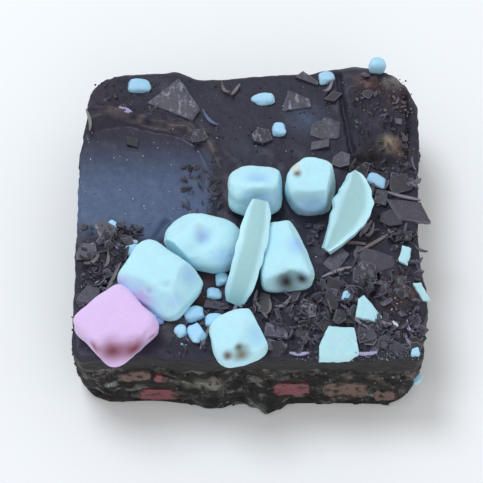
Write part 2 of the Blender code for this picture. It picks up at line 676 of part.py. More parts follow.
def footprints():
    """Circles that hold every larger piece on the top."""
    taken = []
    for _, pixel, height, half, *_ in MARSHMALLOWS:
        taken.append((*seen_at(pixel, height).xy, max(half[:2]) * 1.05))
    for _, pixel, half_length, half_width, *_ in (*WHITE_SHARDS.values(), *DARK_SHARDS.values()):
        taken.append((*seen_on_top(pixel).xy, max(half_length, half_width)))
    for start, middle, end, half_width, end_width, *_, fullness in CURLED_SHARDS.values():
        for share in (0.0, 0.25, 0.5, 0.75, 1.0):
            spot, _ = bent_line(start, middle, end, share)
            taken.append((*spot.xy, curl_width(share, half_width, end_width, fullness) + 1.0))
    return taken


def fused_toppings(collection):
    """The flakes and bits that are one with the poured chocolate."""
    draw = random.Random(SEED)
    taken = footprints()
    shapes = []
    for outline, pixel, half_length, half_width, turn in NAMED_FLAKES:
        place = seen_on_top(pixel, FLAKE_SHOWS)
        if clear_of(place.x, place.y, taken, half_width * 0.6):
            shapes.append(flake_shape(outline, place, half_length, half_width, turn, draw))
            taken.append((place.x, place.y, half_width))
    for pixel, half_length, half_width, turn in MALLOW_BITS:
        place = seen_on_top(pixel, BIT_LIFT * half_width)
        if clear_of(place.x, place.y, taken, half_width * 0.5):
            half = (half_length, half_width, BIT_HEIGHT * half_width)
            shapes.append(bit_shape(place, half, turn, draw))
            taken.append((place.x, place.y, half_width))
    pixel, above, half = BACK_BIT
    shapes.append(bit_shape(seen_on_top(pixel, above), half, 0.0, draw))
    for field in STREWN:
        shapes += strewn_flakes(*field, taken, draw)
    for number, bm in enumerate(shapes):
        add_object(f"fused_{number}", bm, collection, smooth=False)


def strewn_flakes(x_from, x_to, y_from, y_to, count, taken, draw):
    """Flakes at random places of one field, clear of everything placed before them."""
    shapes = []
    for _ in range(TRIES_EACH * count):
        x, y = draw.uniform(x_from, x_to), draw.uniform(y_from, y_to)
        half_length = draw.uniform(*STREWN_HALF_LENGTH)
        if len(shapes) < count and clear_of(x, y, taken, half_length + STREWN_SPACE):
            place = Vector((x, y, top_height(x, y) + FLAKE_SHOWS))
            half_width = half_length * draw.uniform(*STREWN_SLIMNESS)
            outline = draw.choice(FLAKE_OUTLINES)
            turn = draw.uniform(0.0, 180.0)
            shapes.append(flake_shape(outline, place, half_length, half_width, turn, draw))
            taken.append((x, y, half_width))
    return shapes


def apply_boolean(target, collection, operation):
    """Join or cut a whole collection, keep the result and drop the collection's objects."""
    cut = target.modifiers.new(operation.lower(), "BOOLEAN")
    cut.operation = operation
    cut.operand_type = "COLLECTION"
    cut.collection = collection
    cut.solver = "MANIFOLD"
    depsgraph = bpy.context.evaluated_depsgraph_get()
    result = bpy.data.meshes.new_from_object(target.evaluated_get(depsgraph))
    target.modifiers.clear()
    keep_largest(result)
    target.data = result
    result.name = target.name
    for used in list(collection.objects):
        bpy.data.objects.remove(used, do_unlink=True)
    bpy.data.collections.remove(collection)


def keep_largest(mesh):
    """Fill sealed hollows and drop loose scraps: only the largest shell stays."""
    bm = bmesh.new()
    bm.from_mesh(mesh)
    shells = []
    seen = set()
    for vert in bm.verts:
        if vert in seen:
            continue
        shell = {vert}
        front = [vert]
        while front:
            for edge in front.pop().link_edges:
                for other in edge.verts:
                    if other not in shell:
                        shell.add(other)
                        front.append(other)
        seen |= shell
        shells.append(shell)
    shells.sort(key=len)
    for shell in shells[:-1]:
        bmesh.ops.delete(bm, geom=list(shell), context="VERTS")
    bm.to_mesh(mesh)
    bm.free()


def new_collection(name, scene_collection):
    """A collection in the scene."""
    made = bpy.data.collections.new(name)
    scene_collection.children.link(made)
    return made


def toppings_on_beds():
    """Each loose topping: its name, its finish, and the function and values that shape it."""
    rows = []
    for number, row in enumerate(MARSHMALLOWS):
        finish = "marshmallow_pink" if row[0] == "marshmallow_pink" else "marshmallow"
        rows.append((row[0], finish, marshmallow_shape, (row, number)))
    rows += [(name, "white_chocolate", shard_shape, values) for name, values in WHITE_SHARDS.items()]
    rows += [(name, "white_chocolate", curled_shape, values) for name, values in CURLED_SHARDS.items()]
    rows += [(name, "dark_shard", shard_shape, values) for name, values in DARK_SHARDS.items()]
    return rows


def main():
    """Build every piece of the square."""
    for old in list(bpy.data.objects):
        bpy.data.objects.remove(old, do_unlink=True)
    root = bpy.context.scene.collection
    pieces = new_collection("rocky_road", root)
    fused = new_collection("fused", root)
    beds = new_collection("beds", root)
    pockets = new_collection("pockets", root)

    top = poured_layer(pieces)
    mix = craggy_layer(pieces)
    fused_toppings(fused)
    apply_boolean(top, fused, "UNION")
    stuck = new_collection("stuck", root)
    (side_y, height), half, turn = CORNER_BIT
    place = slab_point((HALF, side_y, height))
    add_object("corner_bit", bit_shape(place, half, turn, random.Random(SEED)), stuck, smooth=False)
    apply_boolean(mix, stuck, "UNION")

    for name, finish, shape, values in toppings_on_beds():
        add_object(name, shape(*values), pieces, finish)
        add_object(f"bed_{name}", swollen(shape(*values), BED_GROWTH), beds, smooth=False)
    apply_boolean(top, beds, "DIFFERENCE")

    for number, (name, row) in enumerate(BURIED.items()):
        finish = name.rsplit("_", 1)[0]
        add_object(name, buried_shape(row, number), pieces, finish)
        pocket = swollen(buried_shape(row, number, POCKET_PAST_FACE), BED_GROWTH)
        add_object(f"pocket_{name}", pocket, pockets, smooth=False)
    apply_boolean(mix, pockets, "DIFFERENCE")


main()
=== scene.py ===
"""Looks of a square of rocky road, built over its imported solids.

Every shape is drawn in millimetres, +Z up, with the middle of the underside at the
origin and the front cut face towards -Y, and is scaled to metres as it is finished.
"""

import math
import random

import bmesh
import bpy
from mathutils import Matrix, Vector, noise


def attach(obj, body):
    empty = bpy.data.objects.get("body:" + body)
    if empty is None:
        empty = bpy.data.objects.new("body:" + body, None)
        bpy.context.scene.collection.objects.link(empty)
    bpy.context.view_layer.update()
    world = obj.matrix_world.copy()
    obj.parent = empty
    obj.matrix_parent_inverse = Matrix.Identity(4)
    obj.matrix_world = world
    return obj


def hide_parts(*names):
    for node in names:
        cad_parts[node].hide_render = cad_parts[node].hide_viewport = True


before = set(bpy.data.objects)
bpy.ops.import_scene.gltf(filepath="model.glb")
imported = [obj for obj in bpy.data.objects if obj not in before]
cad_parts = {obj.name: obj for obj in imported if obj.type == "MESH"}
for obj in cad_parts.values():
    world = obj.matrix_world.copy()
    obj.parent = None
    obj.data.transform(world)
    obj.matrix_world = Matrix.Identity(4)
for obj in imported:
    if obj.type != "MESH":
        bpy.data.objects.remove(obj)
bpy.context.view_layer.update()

bl_info = {
    "name": "Rocky road square",
    "version": (1, 0, 0),
    "blender": (4, 5, 0),
    "location": "3D View > Sidebar > Rocky road",
    "description": "Builds a cut square of rocky road over its solids",
    "category": "Mesh",
}

MILLIMETRE = 0.001
BODY = "root"

# Driving dimensions of the cut square, as in its solids
SIDE = 80.0
HEIGHT = 22.0
TOP_LAYER = 4.8
HALF = SIDE / 2
SEAM = HEIGHT - TOP_LAYER
SEAM_MARGIN = 3.0

# The camera of the photograph that places are read from: where it stands, its tilt from
# straight down in degrees, and its focal length and the middle of the picture in pixels. A place written as a pixel
# is (across, down) in that picture, read off it.
# A place written as a pixel is (across, down) in that picture, read by eye.
EYE = (-2.0, -242.7, 407.1)
TILT = 31.25
FOCAL = 1914.0
MIDDLE = 241.5

# Noise in the shapes: size of its grains in millimetres, and height
TOP_ROUGH = ((4.0, 0.55), (2.1, 0.30))
CRAG_COARSE = (5.0, 0.9)
CRAG_FINE = (2.4, 0.7)
SEAM_WAVE = (9.0, 0.9)
SEAM_WAVE_REACH = 4.0
ON_RIM = 0.01

# Corner radii in plan: left or right, front or back, at the top and at the underside
CORNERS = {
    (-1, -1): (2.5, 9.0),
    (1, -1): (2.5, 9.0),
    (-1, 1): (10.0, 10.0),
    (1, 1): (14.0, 12.0),
}

# The upper edge of the square, in pixels: the left and right sides from the front to the
# back, the front and the back from left to right
LEFT_EDGE = ((74, 357), (72, 335), (76, 242), (79, 185), (80, 155), (84, 130), (87, 110))
RIGHT_EDGE = ((425, 358), (423, 330), (428, 303), (418, 245), (418, 190), (419, 135))
FRONT_EDGE = ((80, 360), (150, 357), (200, 361), (330, 360), (420, 361))
BACK_EDGE = ((115, 74), (170, 72), (198, 79), (290, 74), (350, 67))

# Lumps and hollows of the top: pixel, reach, rise
SWELLS = (
    ((103, 97), 6.0, 1.2),
    ((172, 80), 6.0, 1.0),
    ((358, 84), 5.5, 2.8),
    ((390, 87), 4.5, 1.8),
    ((382, 114), 6.0, 2.2),
    ((384, 146), 5.0, 2.4),
    ((368, 162), 4.5, -1.8),
    ((395, 294), 5.5, 2.2),
    ((422, 332), 3.0, -1.6),
    ((90, 290), 6.0, 0.6),
    ((335, 285), 9.0, 0.5),
    ((214, 298), 6.0, -0.8),
)

# The smooth pool of poured chocolate and the lip along its far side, in pixels
POOL_MIDDLE = (138, 180)
POOL_REACH = (18.0, 17.0)
POOL_POWER = 3.0
POOL_DEPTH = 1.2
LIP_LINE = ((90, 109), (125, 112), (155, 119), (187, 125), (208, 141), (216, 158))
LIP_REACH = 1.5
LIP_RISE = 1.2

# The grooved block at the back right: pixel, reach across and back
BLOCK_MIDDLE = (382, 115)
BLOCK_REACH = (8.5, 12.5)

# Narrow clefts in the top: pixels along the line, reach, depth
CLEFT_LINES = (
    (((338, 75), (344, 112), (352, 150)), 0.7, 1.5),
    (((406, 98), (408, 125), (405, 158)), 0.6, 1.6),
    (((378, 272), (376, 290), (370, 308)), 0.7, 1.5),
    (((110, 272), (104, 286)), 0.8, 1.4),
    (((350, 158), (372, 160), (392, 165)), 1.1, 1.2),
    (((166, 220), (155, 236), (152, 246)), 0.9, 1.0),
)

# Bulges low on the front face: pixel, reach, rise
FRONT_BULGES = (((268, 400), 4.5, 2.6), ((213, 399), 4.5, 1.3))

# Fine relief of the chocolate: size of the grain and height, coarse to fine
TOP_GRAINS = ((1.5, 0.26), (0.7, 0.13))
FACE_GRAINS = ((1.7, 0.42), (0.8, 0.22), (0.45, 0.1))
BAND_GRAINS = ((3.0, 0.16), (1.1, 0.07))

# Parts of the top that are rough with shavings: x, y, reach across, reach back
SHAVED = (
    (-31.5, -18.0, 10.0, 15.0),
    (21.0, -29.0, 20.0, 12.0),
    (-8.0, -33.0, 13.0, 8.0),
    (32.0, -6.0, 9.0, 15.0),
    (-11.0, 7.0, 4.5, 10.0),
    (33.0, 26.0, 8.0, 14.0),
    (-32.0, 33.0, 9.0, 6.0),
)

# Marshmallows: name, pixel and height of the middle, half sizes, roundness in plan and
# along the axis, taper, lean towards the front, turn in plan
MARSHMALLOWS = (
    ("marshmallow_1", (256, 191), 25.5, (6.5, 6.0, 4.5), 2.4, 6.0, 0.0, -30.0, -5.0),
    ("marshmallow_2", (312, 188), 26.5, (6.2, 6.0, 6.5), 2.1, 6.5, 0.0, 15.0, 0.0),
    ("marshmallow_3", (203, 243), 25.5, (9.0, 6.5, 5.0), 3.0, 2.8, 0.0, 10.0, -12.0),
    ("marshmallow_4", (160, 281), 25.5, (9.0, 7.0, 5.0), 4.2, 3.4, 0.0, 8.0, -35.0),
    ("marshmallow_pink", (116, 326), 25.5, (7.5, 7.5, 4.5), 6.5, 4.5, 0.0, 5.0, 42.0),
    ("marshmallow_5", (284, 257), 25.5, (7.0, 8.0, 5.0), 4.6, 3.6, 0.5, 6.0, 7.0),
    ("marshmallow_6", (238, 338), 25.0, (6.5, 6.0, 5.5), 3.2, 3.0, 0.1, 8.0, 20.0),
)

# Flat sides of the marshmallows: the direction out, and how far out of the middle
FLATS = {
    "marshmallow_1": (((0.0, -0.9, 0.4), 5.2), ((1.0, 0.0, 0.2), 6.1)),
    "marshmallow_2": (((0.0, -1.0, 0.3), 5.6), ((0.95, -0.25, 0.1), 4.6)),
    "marshmallow_3": (((-0.5, 0.4, 0.8), 6.0), ((-0.7, -0.7, 0.0), 6.3)),
    "marshmallow_4": (((0.6, -0.3, 0.7), 6.4), ((-0.3, -0.7, 0.6), 5.6), ((0.7, 0.7, 0.0), 6.9)),
    "marshmallow_pink": (((0.1, -1.0, 0.3), 6.6), ((0.0, -0.2, 1.0), 4.1)),
    "marshmallow_5": (((0.7, 0.2, 0.7), 5.2), ((0.0, -0.1, 1.0), 4.6)),
    "marshmallow_6": (((0.3, -0.4, 0.9), 4.8), ((-0.3, -0.2, 0.9), 4.6), ((0.9, 0.4, 0.2), 5.4)),
}
FLAT_SOFTNESS = 0.5
SKIN_STEP = 0.8

# Dents and swellings of the marshmallows: pixel on the skin, reach, depth inwards
DENTS = {
    "marshmallow_1": (
        ((256, 176), 2.6, 0.5), ((238, 186), 2.0, 0.4), ((258, 185), 2.0, -0.3), ((265, 195), 1.6, 0.25),
    ),
    "marshmallow_2": (((296, 168), 1.2, 0.4), ((316, 206), 2.2, 0.3), ((298, 203), 1.6, 0.25)),
    "marshmallow_3": (
        ((206, 237), 2.2, 1.0), ((199, 244), 1.6, 0.6), ((191, 249), 1.2, 0.4), ((201, 227), 1.2, 0.5),
        ((213, 228), 1.0, 0.3), ((188, 230), 1.8, -0.4), ((218, 245), 2.4, -0.4), ((185, 241), 2.2, -0.4),
        ((210, 253), 0.5, 0.2), ((224, 252), 0.6, 0.2),
    ),
    "marshmallow_4": (
        ((162, 284), 1.0, 0.2), ((158, 286), 0.8, 0.15), ((148, 292), 0.7, 0.25),
        ((152, 280), 0.6, 0.15), ((160, 279), 0.6, 0.15),
    ),
    "marshmallow_pink": (
        ((109, 341), 0.9, 0.3), ((131, 342), 0.9, 0.3), ((140, 340), 0.9, 0.3), ((147, 336), 1.0, 0.3),
    ),
    "marshmallow_5": (
        ((278, 287), 2.2, 1.6), ((287, 284), 2.4, 2.0), ((297, 281), 2.0, 1.5), ((308, 274), 1.6, -0.4),
        ((286, 269), 0.6, 0.2),
    ),
    "marshmallow_6": (((243, 354), 2.4, 1.2), ((233, 356), 1.6, 0.6), ((251, 353), 1.6, 0.8)),
}

# Stains, painted shade and painted highlights of the marshmallows: pixel on the skin, reach, colour on the screen,
# strength
STAINS_SHADE_AND_HIGHLIGHTS = {
    # marshmallow_1: the bluish patches in the hollow at the top and low on the side are painted shade, the pale one
    # on the ridge between them a painted highlight.
    "marshmallow_1": (
        ((258, 177), 3.0, (150, 196, 246), 0.6), ((258, 186), 2.0, (200, 250, 252), 0.7),
        ((262, 203), 4.0, (160, 202, 242), 0.6), ((283, 190), 1.0, (190, 200, 184), 0.7),
    ),
    # marshmallow_2: the brown marks are real stains; the bluish patch low on the front is a painted shadow, the
    # greyer one below it painted light.
    "marshmallow_2": (
        ((297, 172), 1.0, (120, 92, 50), 1.0), ((298, 160), 0.8, (150, 122, 74), 0.9),
        ((293, 166), 1.5, (222, 214, 204), 0.9), ((312, 208), 4.0, (156, 198, 242), 0.7),
        ((300, 215), 1.8, (196, 212, 232), 0.8), ((288, 200), 1.2, (172, 174, 160), 0.8),
    ),
    # marshmallow_3: the bluish patches in the dip and along the lower side are painted shade; the pale beige mark
    # is a real stain.
    "marshmallow_3": (
        ((203, 235), 2.0, (154, 184, 224), 0.8), ((235, 262), 2.6, (158, 198, 240), 0.6),
        ((200, 226), 0.9, (190, 206, 206), 0.5), ((222, 258), 2.6, (160, 200, 240), 0.5),
        ((243, 240), 1.2, (182, 214, 196), 0.6),
    ),
    # marshmallow_4: the bluish patches on the right and on the front side are painted shade.
    "marshmallow_4": (
        ((140, 300), 3.0, (214, 196, 238), 0.9), ((120, 283), 2.2, (196, 204, 244), 0.8),
        ((165, 283), 0.9, (160, 196, 206), 0.5), ((148, 292), 0.6, (150, 188, 206), 0.6),
        ((190, 275), 2.6, (166, 206, 248), 0.7), ((178, 300), 2.0, (176, 208, 250), 0.6),
    ),
    # marshmallow_pink: the dark red patches along its lower edge are painted shade on its underside.
    "marshmallow_pink": (
        ((113, 353), 3.2, (136, 70, 84), 1.0), ((135, 350), 3.0, (136, 70, 84), 1.0),
        ((93, 348), 1.6, (150, 88, 96), 0.9), ((152, 338), 1.0, (150, 86, 104), 0.7),
    ),
    # marshmallow_5: the bluish patch is painted shade.
    "marshmallow_5": (
        ((285, 282), 2.6, (52, 41, 43), 1.0), ((300, 279), 1.8, (52, 41, 43), 1.0),
        ((300, 245), 2.6, (156, 202, 248), 0.7),
    ),
    # marshmallow_6: the bluish patch on the right is painted shade.
    "marshmallow_6": (
        ((243, 355), 2.0, (130, 130, 116), 1.0), ((228, 357), 1.2, (116, 92, 84), 1.0),
        ((240, 348), 0.9, (100, 88, 62), 0.9), ((258, 335), 2.4, (160, 208, 250), 0.6),
    ),
}

# Outlines of broken pieces: corners in half lengths and half widths
OUTLINES = {
    "block": ((-1.0, -0.8), (0.8, -1.0), (1.0, 0.7), (-0.7, 1.0)),
    "wedge": ((-1.0, -1.0), (1.0, -0.4), (0.9, 0.3), (-0.7, 1.0)),
    "kite": ((-1.0, -0.2), (-0.1, -1.0), (1.0, 0.1), (0.2, 1.0)),
    "corner": ((-1.0, -0.9), (0.9, -1.0), (1.0, -0.5), (-0.6, 1.0), (-1.0, 0.6)),
    "fan": ((-1.0, -0.5), (-0.2, -1.0), (0.9, -0.8), (1.0, 0.5), (0.1, 1.0), (-0.8, 0.4)),
    "tile": ((-1.0, -1.0), (0.5, -1.0), (1.0, -0.7), (0.8, 0.9), (-0.5, 1.0), (-1.0, -0.2)),
}

# Broken pieces of white and dark chocolate: outline, pixel of the middle, half length,
# half width, turn in plan, tilt across, tilt along, thickness
WHITE_SHARDS = {
    "white_chocolate_3": ("tile", (339, 342), 4.5, 4.0, 0.0, 6.0, 0.0, 2.5),
    "white_chocolate_4": ("corner", (370, 308), 3.0, 3.0, -10.0, 8.0, 0.0, 2.0),
    "white_chocolate_5": ("block", (405, 255), 2.5, 1.3, 80.0, 0.0, -6.0, 1.5),
    "white_chocolate_6": ("block", (422, 291), 2.8, 1.0, -60.0, 0.0, 12.0, 1.5),
}
DARK_SHARDS = {
    "dark_shard_1": ("kite", (409, 210), 6.0, 3.5, -35.0, 0.0, 5.0, 1.2),
    "dark_shard_2": ("corner", (375, 256), 4.5, 4.2, 25.0, 10.0, 0.0, 1.2),
    "dark_shard_3": ("wedge", (179, 101), 6.0, 5.0, -40.0, 6.0, 0.0, 1.2),
    "dark_shard_4": ("fan", (325, 128), 3.7, 3.2, 0.0, 5.0, 0.0, 1.0),
    "dark_shard_5": ("wedge", (297, 101), 3.5, 3.0, -5.0, 4.0, 0.0, 1.0),
    "dark_shard_6": ("block", (336, 259), 3.5, 2.0, 60.0, 0.0, -5.0, 1.0),
    "dark_shard_7": ("tile", (90, 294), 2.3, 2.2, -10.0, 0.0, 0.0, 1.0),
}
SHARD_STANDS = 0.8
LONG_EDGE = 1.2
RAGGED = 0.22
RAGGED_SIZE = 1.1

# Long bent shards of white chocolate: pixel and height of the start, middle and end of
# the middle line, half width at the middle and at the ends, thickness, rise of the
# middle above the edges, roll, and how soon the shard reaches its full width
CURLED_SHARDS = {
    "white_chocolate_1": (
        ((259, 205), 30.2), ((249, 255), 29.6), ((236, 300), 22.2), 3.0, 1.2, 1.5, 0.4, -8.0, 4.0,
    ),
    "white_chocolate_2": (
        ((353, 173), 28.5), ((352, 207), 27.5), ((326, 251), 23.8), 4.8, 1.3, 1.5, -0.4, -16.0, 1.5,
    ),
}

# Share of pale bloom on each large shard
SHARD_BLOOM = {
    "dark_shard_1": 0.1, "dark_shard_2": 0.1, "dark_shard_3": 0.9, "dark_shard_4": 0.5,
    "dark_shard_5": 0.9, "dark_shard_6": 0.2, "dark_shard_7": 0.1,
}

# Pieces in the front face: pixel of the middle, half length, half height, depth, turn
FRONT_PIECES = {
    "jelly_1": ((160, 394), 4.5, 2.5, 5.0, 5.0),
    "jelly_2": ((292, 386), 4.0, 2.8, 5.0, 5.0),
    "jelly_3": ((161, 378), 1.5, 1.5, 3.5, 20.0),
    "biscuit_1": ((135, 376), 3.5, 2.0, 5.0, -10.0),
    "biscuit_2": ((345, 387), 5.0, 3.5, 6.0, 5.0),
    "biscuit_3": ((386, 392), 2.8, 2.2, 5.0, -10.0),
}

# Pieces in the sides that the photograph does not show: side, place along it, height of
# the middle, half length, half height, depth, turn
SIDE_PIECES = {
    "jelly_4": ("right", 14.0, 8.0, 4.0, 2.5, 5.0, -10.0),
    "jelly_5": ("left", -14.0, 7.0, 4.0, 2.5, 5.0, 10.0),
    "jelly_6": ("back", -18.0, 10.0, 4.5, 3.0, 5.0, -5.0),
    "biscuit_4": ("right", -14.0, 8.0, 5.5, 3.5, 6.0, 5.0),
    "biscuit_5": ("left", 16.0, 9.0, 6.0, 3.5, 6.0, -5.0),
    "biscuit_6": ("back", 14.0, 8.0, 6.0, 4.0, 6.0, 5.0),
}
BURIED_ROUNDNESS = 4.5
BURIED_PROUD = 0.4
FLAT_ROUND_BURIED = 1.5
SIDE_TURNS = {"front": 0.0, "right": 90.0, "back": 180.0, "left": -90.0}

# Colour patches of the top, one of them painted shade: pixel, reach, colour on the screen, strength
TOP_PATCHES = (
    ((305, 118), 4.6, (82, 94, 116), 0.8), ((248, 150), 5.0, (66, 70, 84), 0.6),
    ((217, 180), 5.0, (72, 68, 76), 0.9), ((103, 100), 5.0, (74, 66, 76), 0.7),
    ((140, 97), 5.0, (62, 66, 74), 0.6), ((367, 88), 3.6, (92, 62, 62), 0.85),
    ((365, 91), 1.2, (142, 116, 106), 0.8), ((393, 86), 2.6, (150, 144, 138), 0.9),
    ((394, 99), 3.6, (84, 60, 64), 0.7), ((389, 148), 2.6, (168, 150, 126), 0.95),
    ((398, 152), 2.0, (116, 82, 68), 0.8), ((372, 125), 4.0, (76, 72, 84), 0.6),
    # The dark patch at pixel (370, 160) is painted shade in the hollow and cleft at the back right.
    ((370, 160), 4.6, (46, 38, 38), 0.9), ((395, 294), 5.2, (84, 62, 62), 0.9),
    ((407, 296), 1.8, (124, 88, 76), 0.7), ((372, 330), 3.0, (66, 76, 98), 0.7),
    ((209, 278), 1.6, (100, 62, 64), 0.9), ((200, 296), 1.8, (100, 62, 64), 0.9),
    ((82, 235), 3.0, (96, 100, 120), 0.5), ((170, 332), 2.5, (110, 106, 104), 0.6),
)

# Colour patches of the front cut face: pixel, reach along, reach up, colour, strength
FACE_PATCHES = (
    ((95, 369), 5.0, 1.0, (112, 108, 104), 0.75), ((111, 384), 1.4, 1.3, (176, 184, 176), 0.85),
    ((85, 378), 1.8, 3.0, (96, 94, 90), 0.5), ((145, 366), 2.2, 0.9, (118, 70, 74), 0.8),
    ((186, 381), 2.0, 1.4, (158, 158, 146), 0.85), ((201, 381), 2.2, 1.5, (150, 150, 138), 0.85),
    ((215, 383), 2.4, 2.6, (146, 148, 136), 0.8), ((288, 370), 5.0, 0.8, (98, 96, 92), 0.6),
    ((345, 387), 5.6, 2.6, (138, 146, 134), 0.8), ((385, 393), 4.6, 1.8, (140, 148, 144), 0.75),
    ((258, 400), 2.2, 2.2, (128, 132, 132), 0.9), ((277, 402), 3.0, 3.0, (34, 38, 38), 0.95),
    ((205, 396), 4.0, 2.6, (40, 40, 40), 0.9),
)


def srgb(red, green, blue):
    """A colour given by its screen values from 0 to 255, as linear light."""
    return tuple(
        value / 255 / 12.92 if value <= 10 else ((value / 255 + 0.055) / 1.055) ** 2.4
        for value in (red, green, blue)
    )


def ease(t):
    """Rise smoothly from 0 to 1."""
    t = min(1.0, max(0.0, t))
    return t * t * (3.0 - 2.0 * t)


def bell(distance, reach):
    """A soft bump of height 1 that has faded away at 1.6 times its reach."""
    return 1.0 - ease(distance / (1.6 * reach))


def blend(colour, other, share):
    """Part of the way from one colour to another."""
    return tuple(a + (b - a) * share for a, b in zip(colour, other))


def along(points, place):
    """Read a smooth curve through (place, value) points."""
    for (a, start), (b, end) in zip(points, points[1:]):
        if place <= b:
            return start + (end - start) * ease((place - a) / (b - a))
    return points[-1][1]


def to_polyline(x, y, points):
    """Distance from a place to a run of straight pieces."""
    nearest = math.inf
    for (ax, ay), (bx, by) in zip(points, points[1:]):
        step_x, step_y = bx - ax, by - ay
        share = ((x - ax) * step_x + (y - ay) * step_y) / (step_x * step_x + step_y * step_y)
        share = min(1.0, max(0.0, share))
        nearest = min(nearest, math.hypot(x - ax - step_x * share, y - ay - step_y * share))
    return nearest


def grains(x, y, z, rows):
    """Noise summed over rows of (size, height)."""
    return sum(height * noise.noise(Vector((x, y, z)) / size) for size, height in rows)


def sight(pixel):
    """The direction from the camera through a pixel."""
    right = (pixel[0] - MIDDLE) / FOCAL
    up = (MIDDLE - pixel[1]) / FOCAL
    tilt = math.radians(TILT)
    return Vector((right, math.sin(tilt) + up * math.cos(tilt), up * math.sin(tilt) - math.cos(tilt)))


def seen_at(pixel, z):
    """The place at a height that the photograph shows at a pixel."""
    ray = sight(pixel)
    return Vector(EYE) + ray * ((z - EYE[2]) / ray.z)


def seen_on_front(pixel):
    """The place along the front face, and the height, that the photograph shows at a pixel."""
    ray = sight(pixel)
    spot = Vector(EYE) + ray * ((-HALF - EYE[1]) / ray.y)
    return spot.x, spot.z


LUMPS = [(*seen_at(pixel, HEIGHT + max(rise, 0.0)).xy, reach, rise) for pixel, reach, rise in SWELLS]
BULGES = [(*seen_on_front(pixel), reach, rise) for pixel, reach, rise in FRONT_BULGES]
POOL_CENTRE = seen_at(POOL_MIDDLE, HEIGHT - POOL_DEPTH).xy
LIP = [seen_at(pixel, HEIGHT + LIP_RISE).xy for pixel in LIP_LINE]
BURIED = {name: ("front", *seen_on_front(pixel), *sizes) for name, (pixel, *sizes) in FRONT_PIECES.items()}
BURIED.update(SIDE_PIECES)
BLOCK_CENTRE = seen_at(BLOCK_MIDDLE, HEIGHT).xy
CLEFTS = [([seen_at(pixel, HEIGHT).xy for pixel in line], *sizes) for line, *sizes in CLEFT_LINES]
TOP_TINTS = [(*seen_at(pixel, HEIGHT).xy, *values) for pixel, *values in TOP_PATCHES]
FACE_TINTS = [(*seen_on_front(pixel), *values) for pixel, *values in FACE_PATCHES]


def in_pool(x, y):
    """1 on the smooth pool, 0 away from it."""
    across = abs(x - POOL_CENTRE[0]) / POOL_REACH[0]
    back = abs(y - POOL_CENTRE[1]) / POOL_REACH[1]
    reach = (across ** POOL_POWER + back ** POOL_POWER) ** (1.0 / POOL_POWER)
    return 1.0 - ease((reach - 0.9) / 0.2)


def is_shaved(x, y):
    """1 where the top is rough with shavings, 0 where it is smooth."""
    most = 0.0
    for centre_x, centre_y, across, back in SHAVED:
        reach = math.hypot((x - centre_x) / across, (y - centre_y) / back)
        most = max(most, 1.0 - ease((reach - 0.8) / 0.4))
    return most


def top_height(x, y):
    """Height of the poured chocolate's upper face, as in its solid."""
    z = HEIGHT
    for lump_x, lump_y, reach, rise in LUMPS:
        distance = math.hypot(x - lump_x, y - lump_y)
        if distance < 1.6 * reach:
            z += rise * bell(distance, reach)
    pool = in_pool(x, y)
    z -= POOL_DEPTH * pool
    z += LIP_RISE * bell(to_polyline(x, y, LIP), LIP_REACH)
    calm = max(pool, ease((y - 12.0) / 8.0) * ease((26.0 - abs(x)) / 6.0))
    (coarse, coarse_height), (fine, fine_height) = TOP_ROUGH
    rough = coarse_height * noise.noise(Vector((x, y, 3.0)) / coarse)
    rough += fine_height * noise.noise(Vector((x, y, 9.0)) / fine)
    return z + rough * (1.0 - 0.85 * calm)


SETTLING_STEPS = 4


def seen_on_top(pixel, above=0.0):
    """The place on the top, or a little above it, that the photograph shows at a pixel."""
    spot = seen_at(pixel, HEIGHT)
    for _ in range(SETTLING_STEPS):
        spot = seen_at(pixel, top_height(spot.x, spot.y) + above)
    return spot


def bends(edge, out, lengthwise):
    """How far a side stands out past the plain square, at places along it."""
    spots = [seen_on_top(pixel) for pixel in edge]
    return [(spot.dot(Vector(lengthwise)), spot.dot(Vector(out)) - HALF) for spot in spots]


LEFT_SIDE = bends(LEFT_EDGE, (-1.0, 0.0, 0.0), (0.0, 1.0, 0.0))
RIGHT_SIDE = bends(RIGHT_EDGE, (1.0, 0.0, 0.0), (0.0, 1.0, 0.0))
FRONT_SIDE = bends(FRONT_EDGE, (0.0, -1.0, 0.0), (1.0, 0.0, 0.0))
BACK_SIDE = bends(BACK_EDGE, (0.0, 1.0, 0.0), (1.0, 0.0, 0.0))


def in_block(x, y):
    """1 on the grooved block, 0 away from it."""
    reach = math.hypot((x - BLOCK_CENTRE[0]) / BLOCK_REACH[0], (y - BLOCK_CENTRE[1]) / BLOCK_REACH[1])
    return 1.0 - ease((reach - 0.85) / 0.25)


def ridged(x, y, z):
    """Noise with sharp crests, from -1 to 1."""
    return 1.0 - 2.6 * abs(noise.noise(Vector((x, y, z))))


def fine_relief(x, y):
    """Relief of the top that is finer than its solid: grain, folds, grooves and clefts."""
    shaved = is_shaved(x, y)
    pool = in_pool(x, y)
    relief = grains(x, y, 20.0, TOP_GRAINS) * (0.1 + 0.9 * shaved) * (1.0 - pool)
    relief += 0.28 * shaved * (1.0 - pool) * ridged(x / 1.7, y / 1.7, 8.0)
    block = in_block(x, y)
    if block > 0.0:
        relief += block * (0.55 * ridged(x / 1.5, y / 5.0, 5.0) + 0.4 * ridged(x / 2.6, y / 2.2, 9.0) - 0.5)
    wander = 1.0 * noise.noise(Vector((x, y, 30.0)) / 2.6)
    fold = to_polyline(x, y + wander, LIP)
    if fold < 3.0 and x < -8.0:
        relief += 0.55 * bell(fold, 0.4) - 0.3 * bell(abs(fold - 1.1), 0.35) + 0.3 * bell(abs(fold - 1.9), 0.4)
    for line, reach, depth in CLEFTS:
        distance = to_polyline(x + 0.5 * wander, y, line)
        if distance < 1.6 * reach:
            relief -= depth * bell(distance, reach)
    return relief


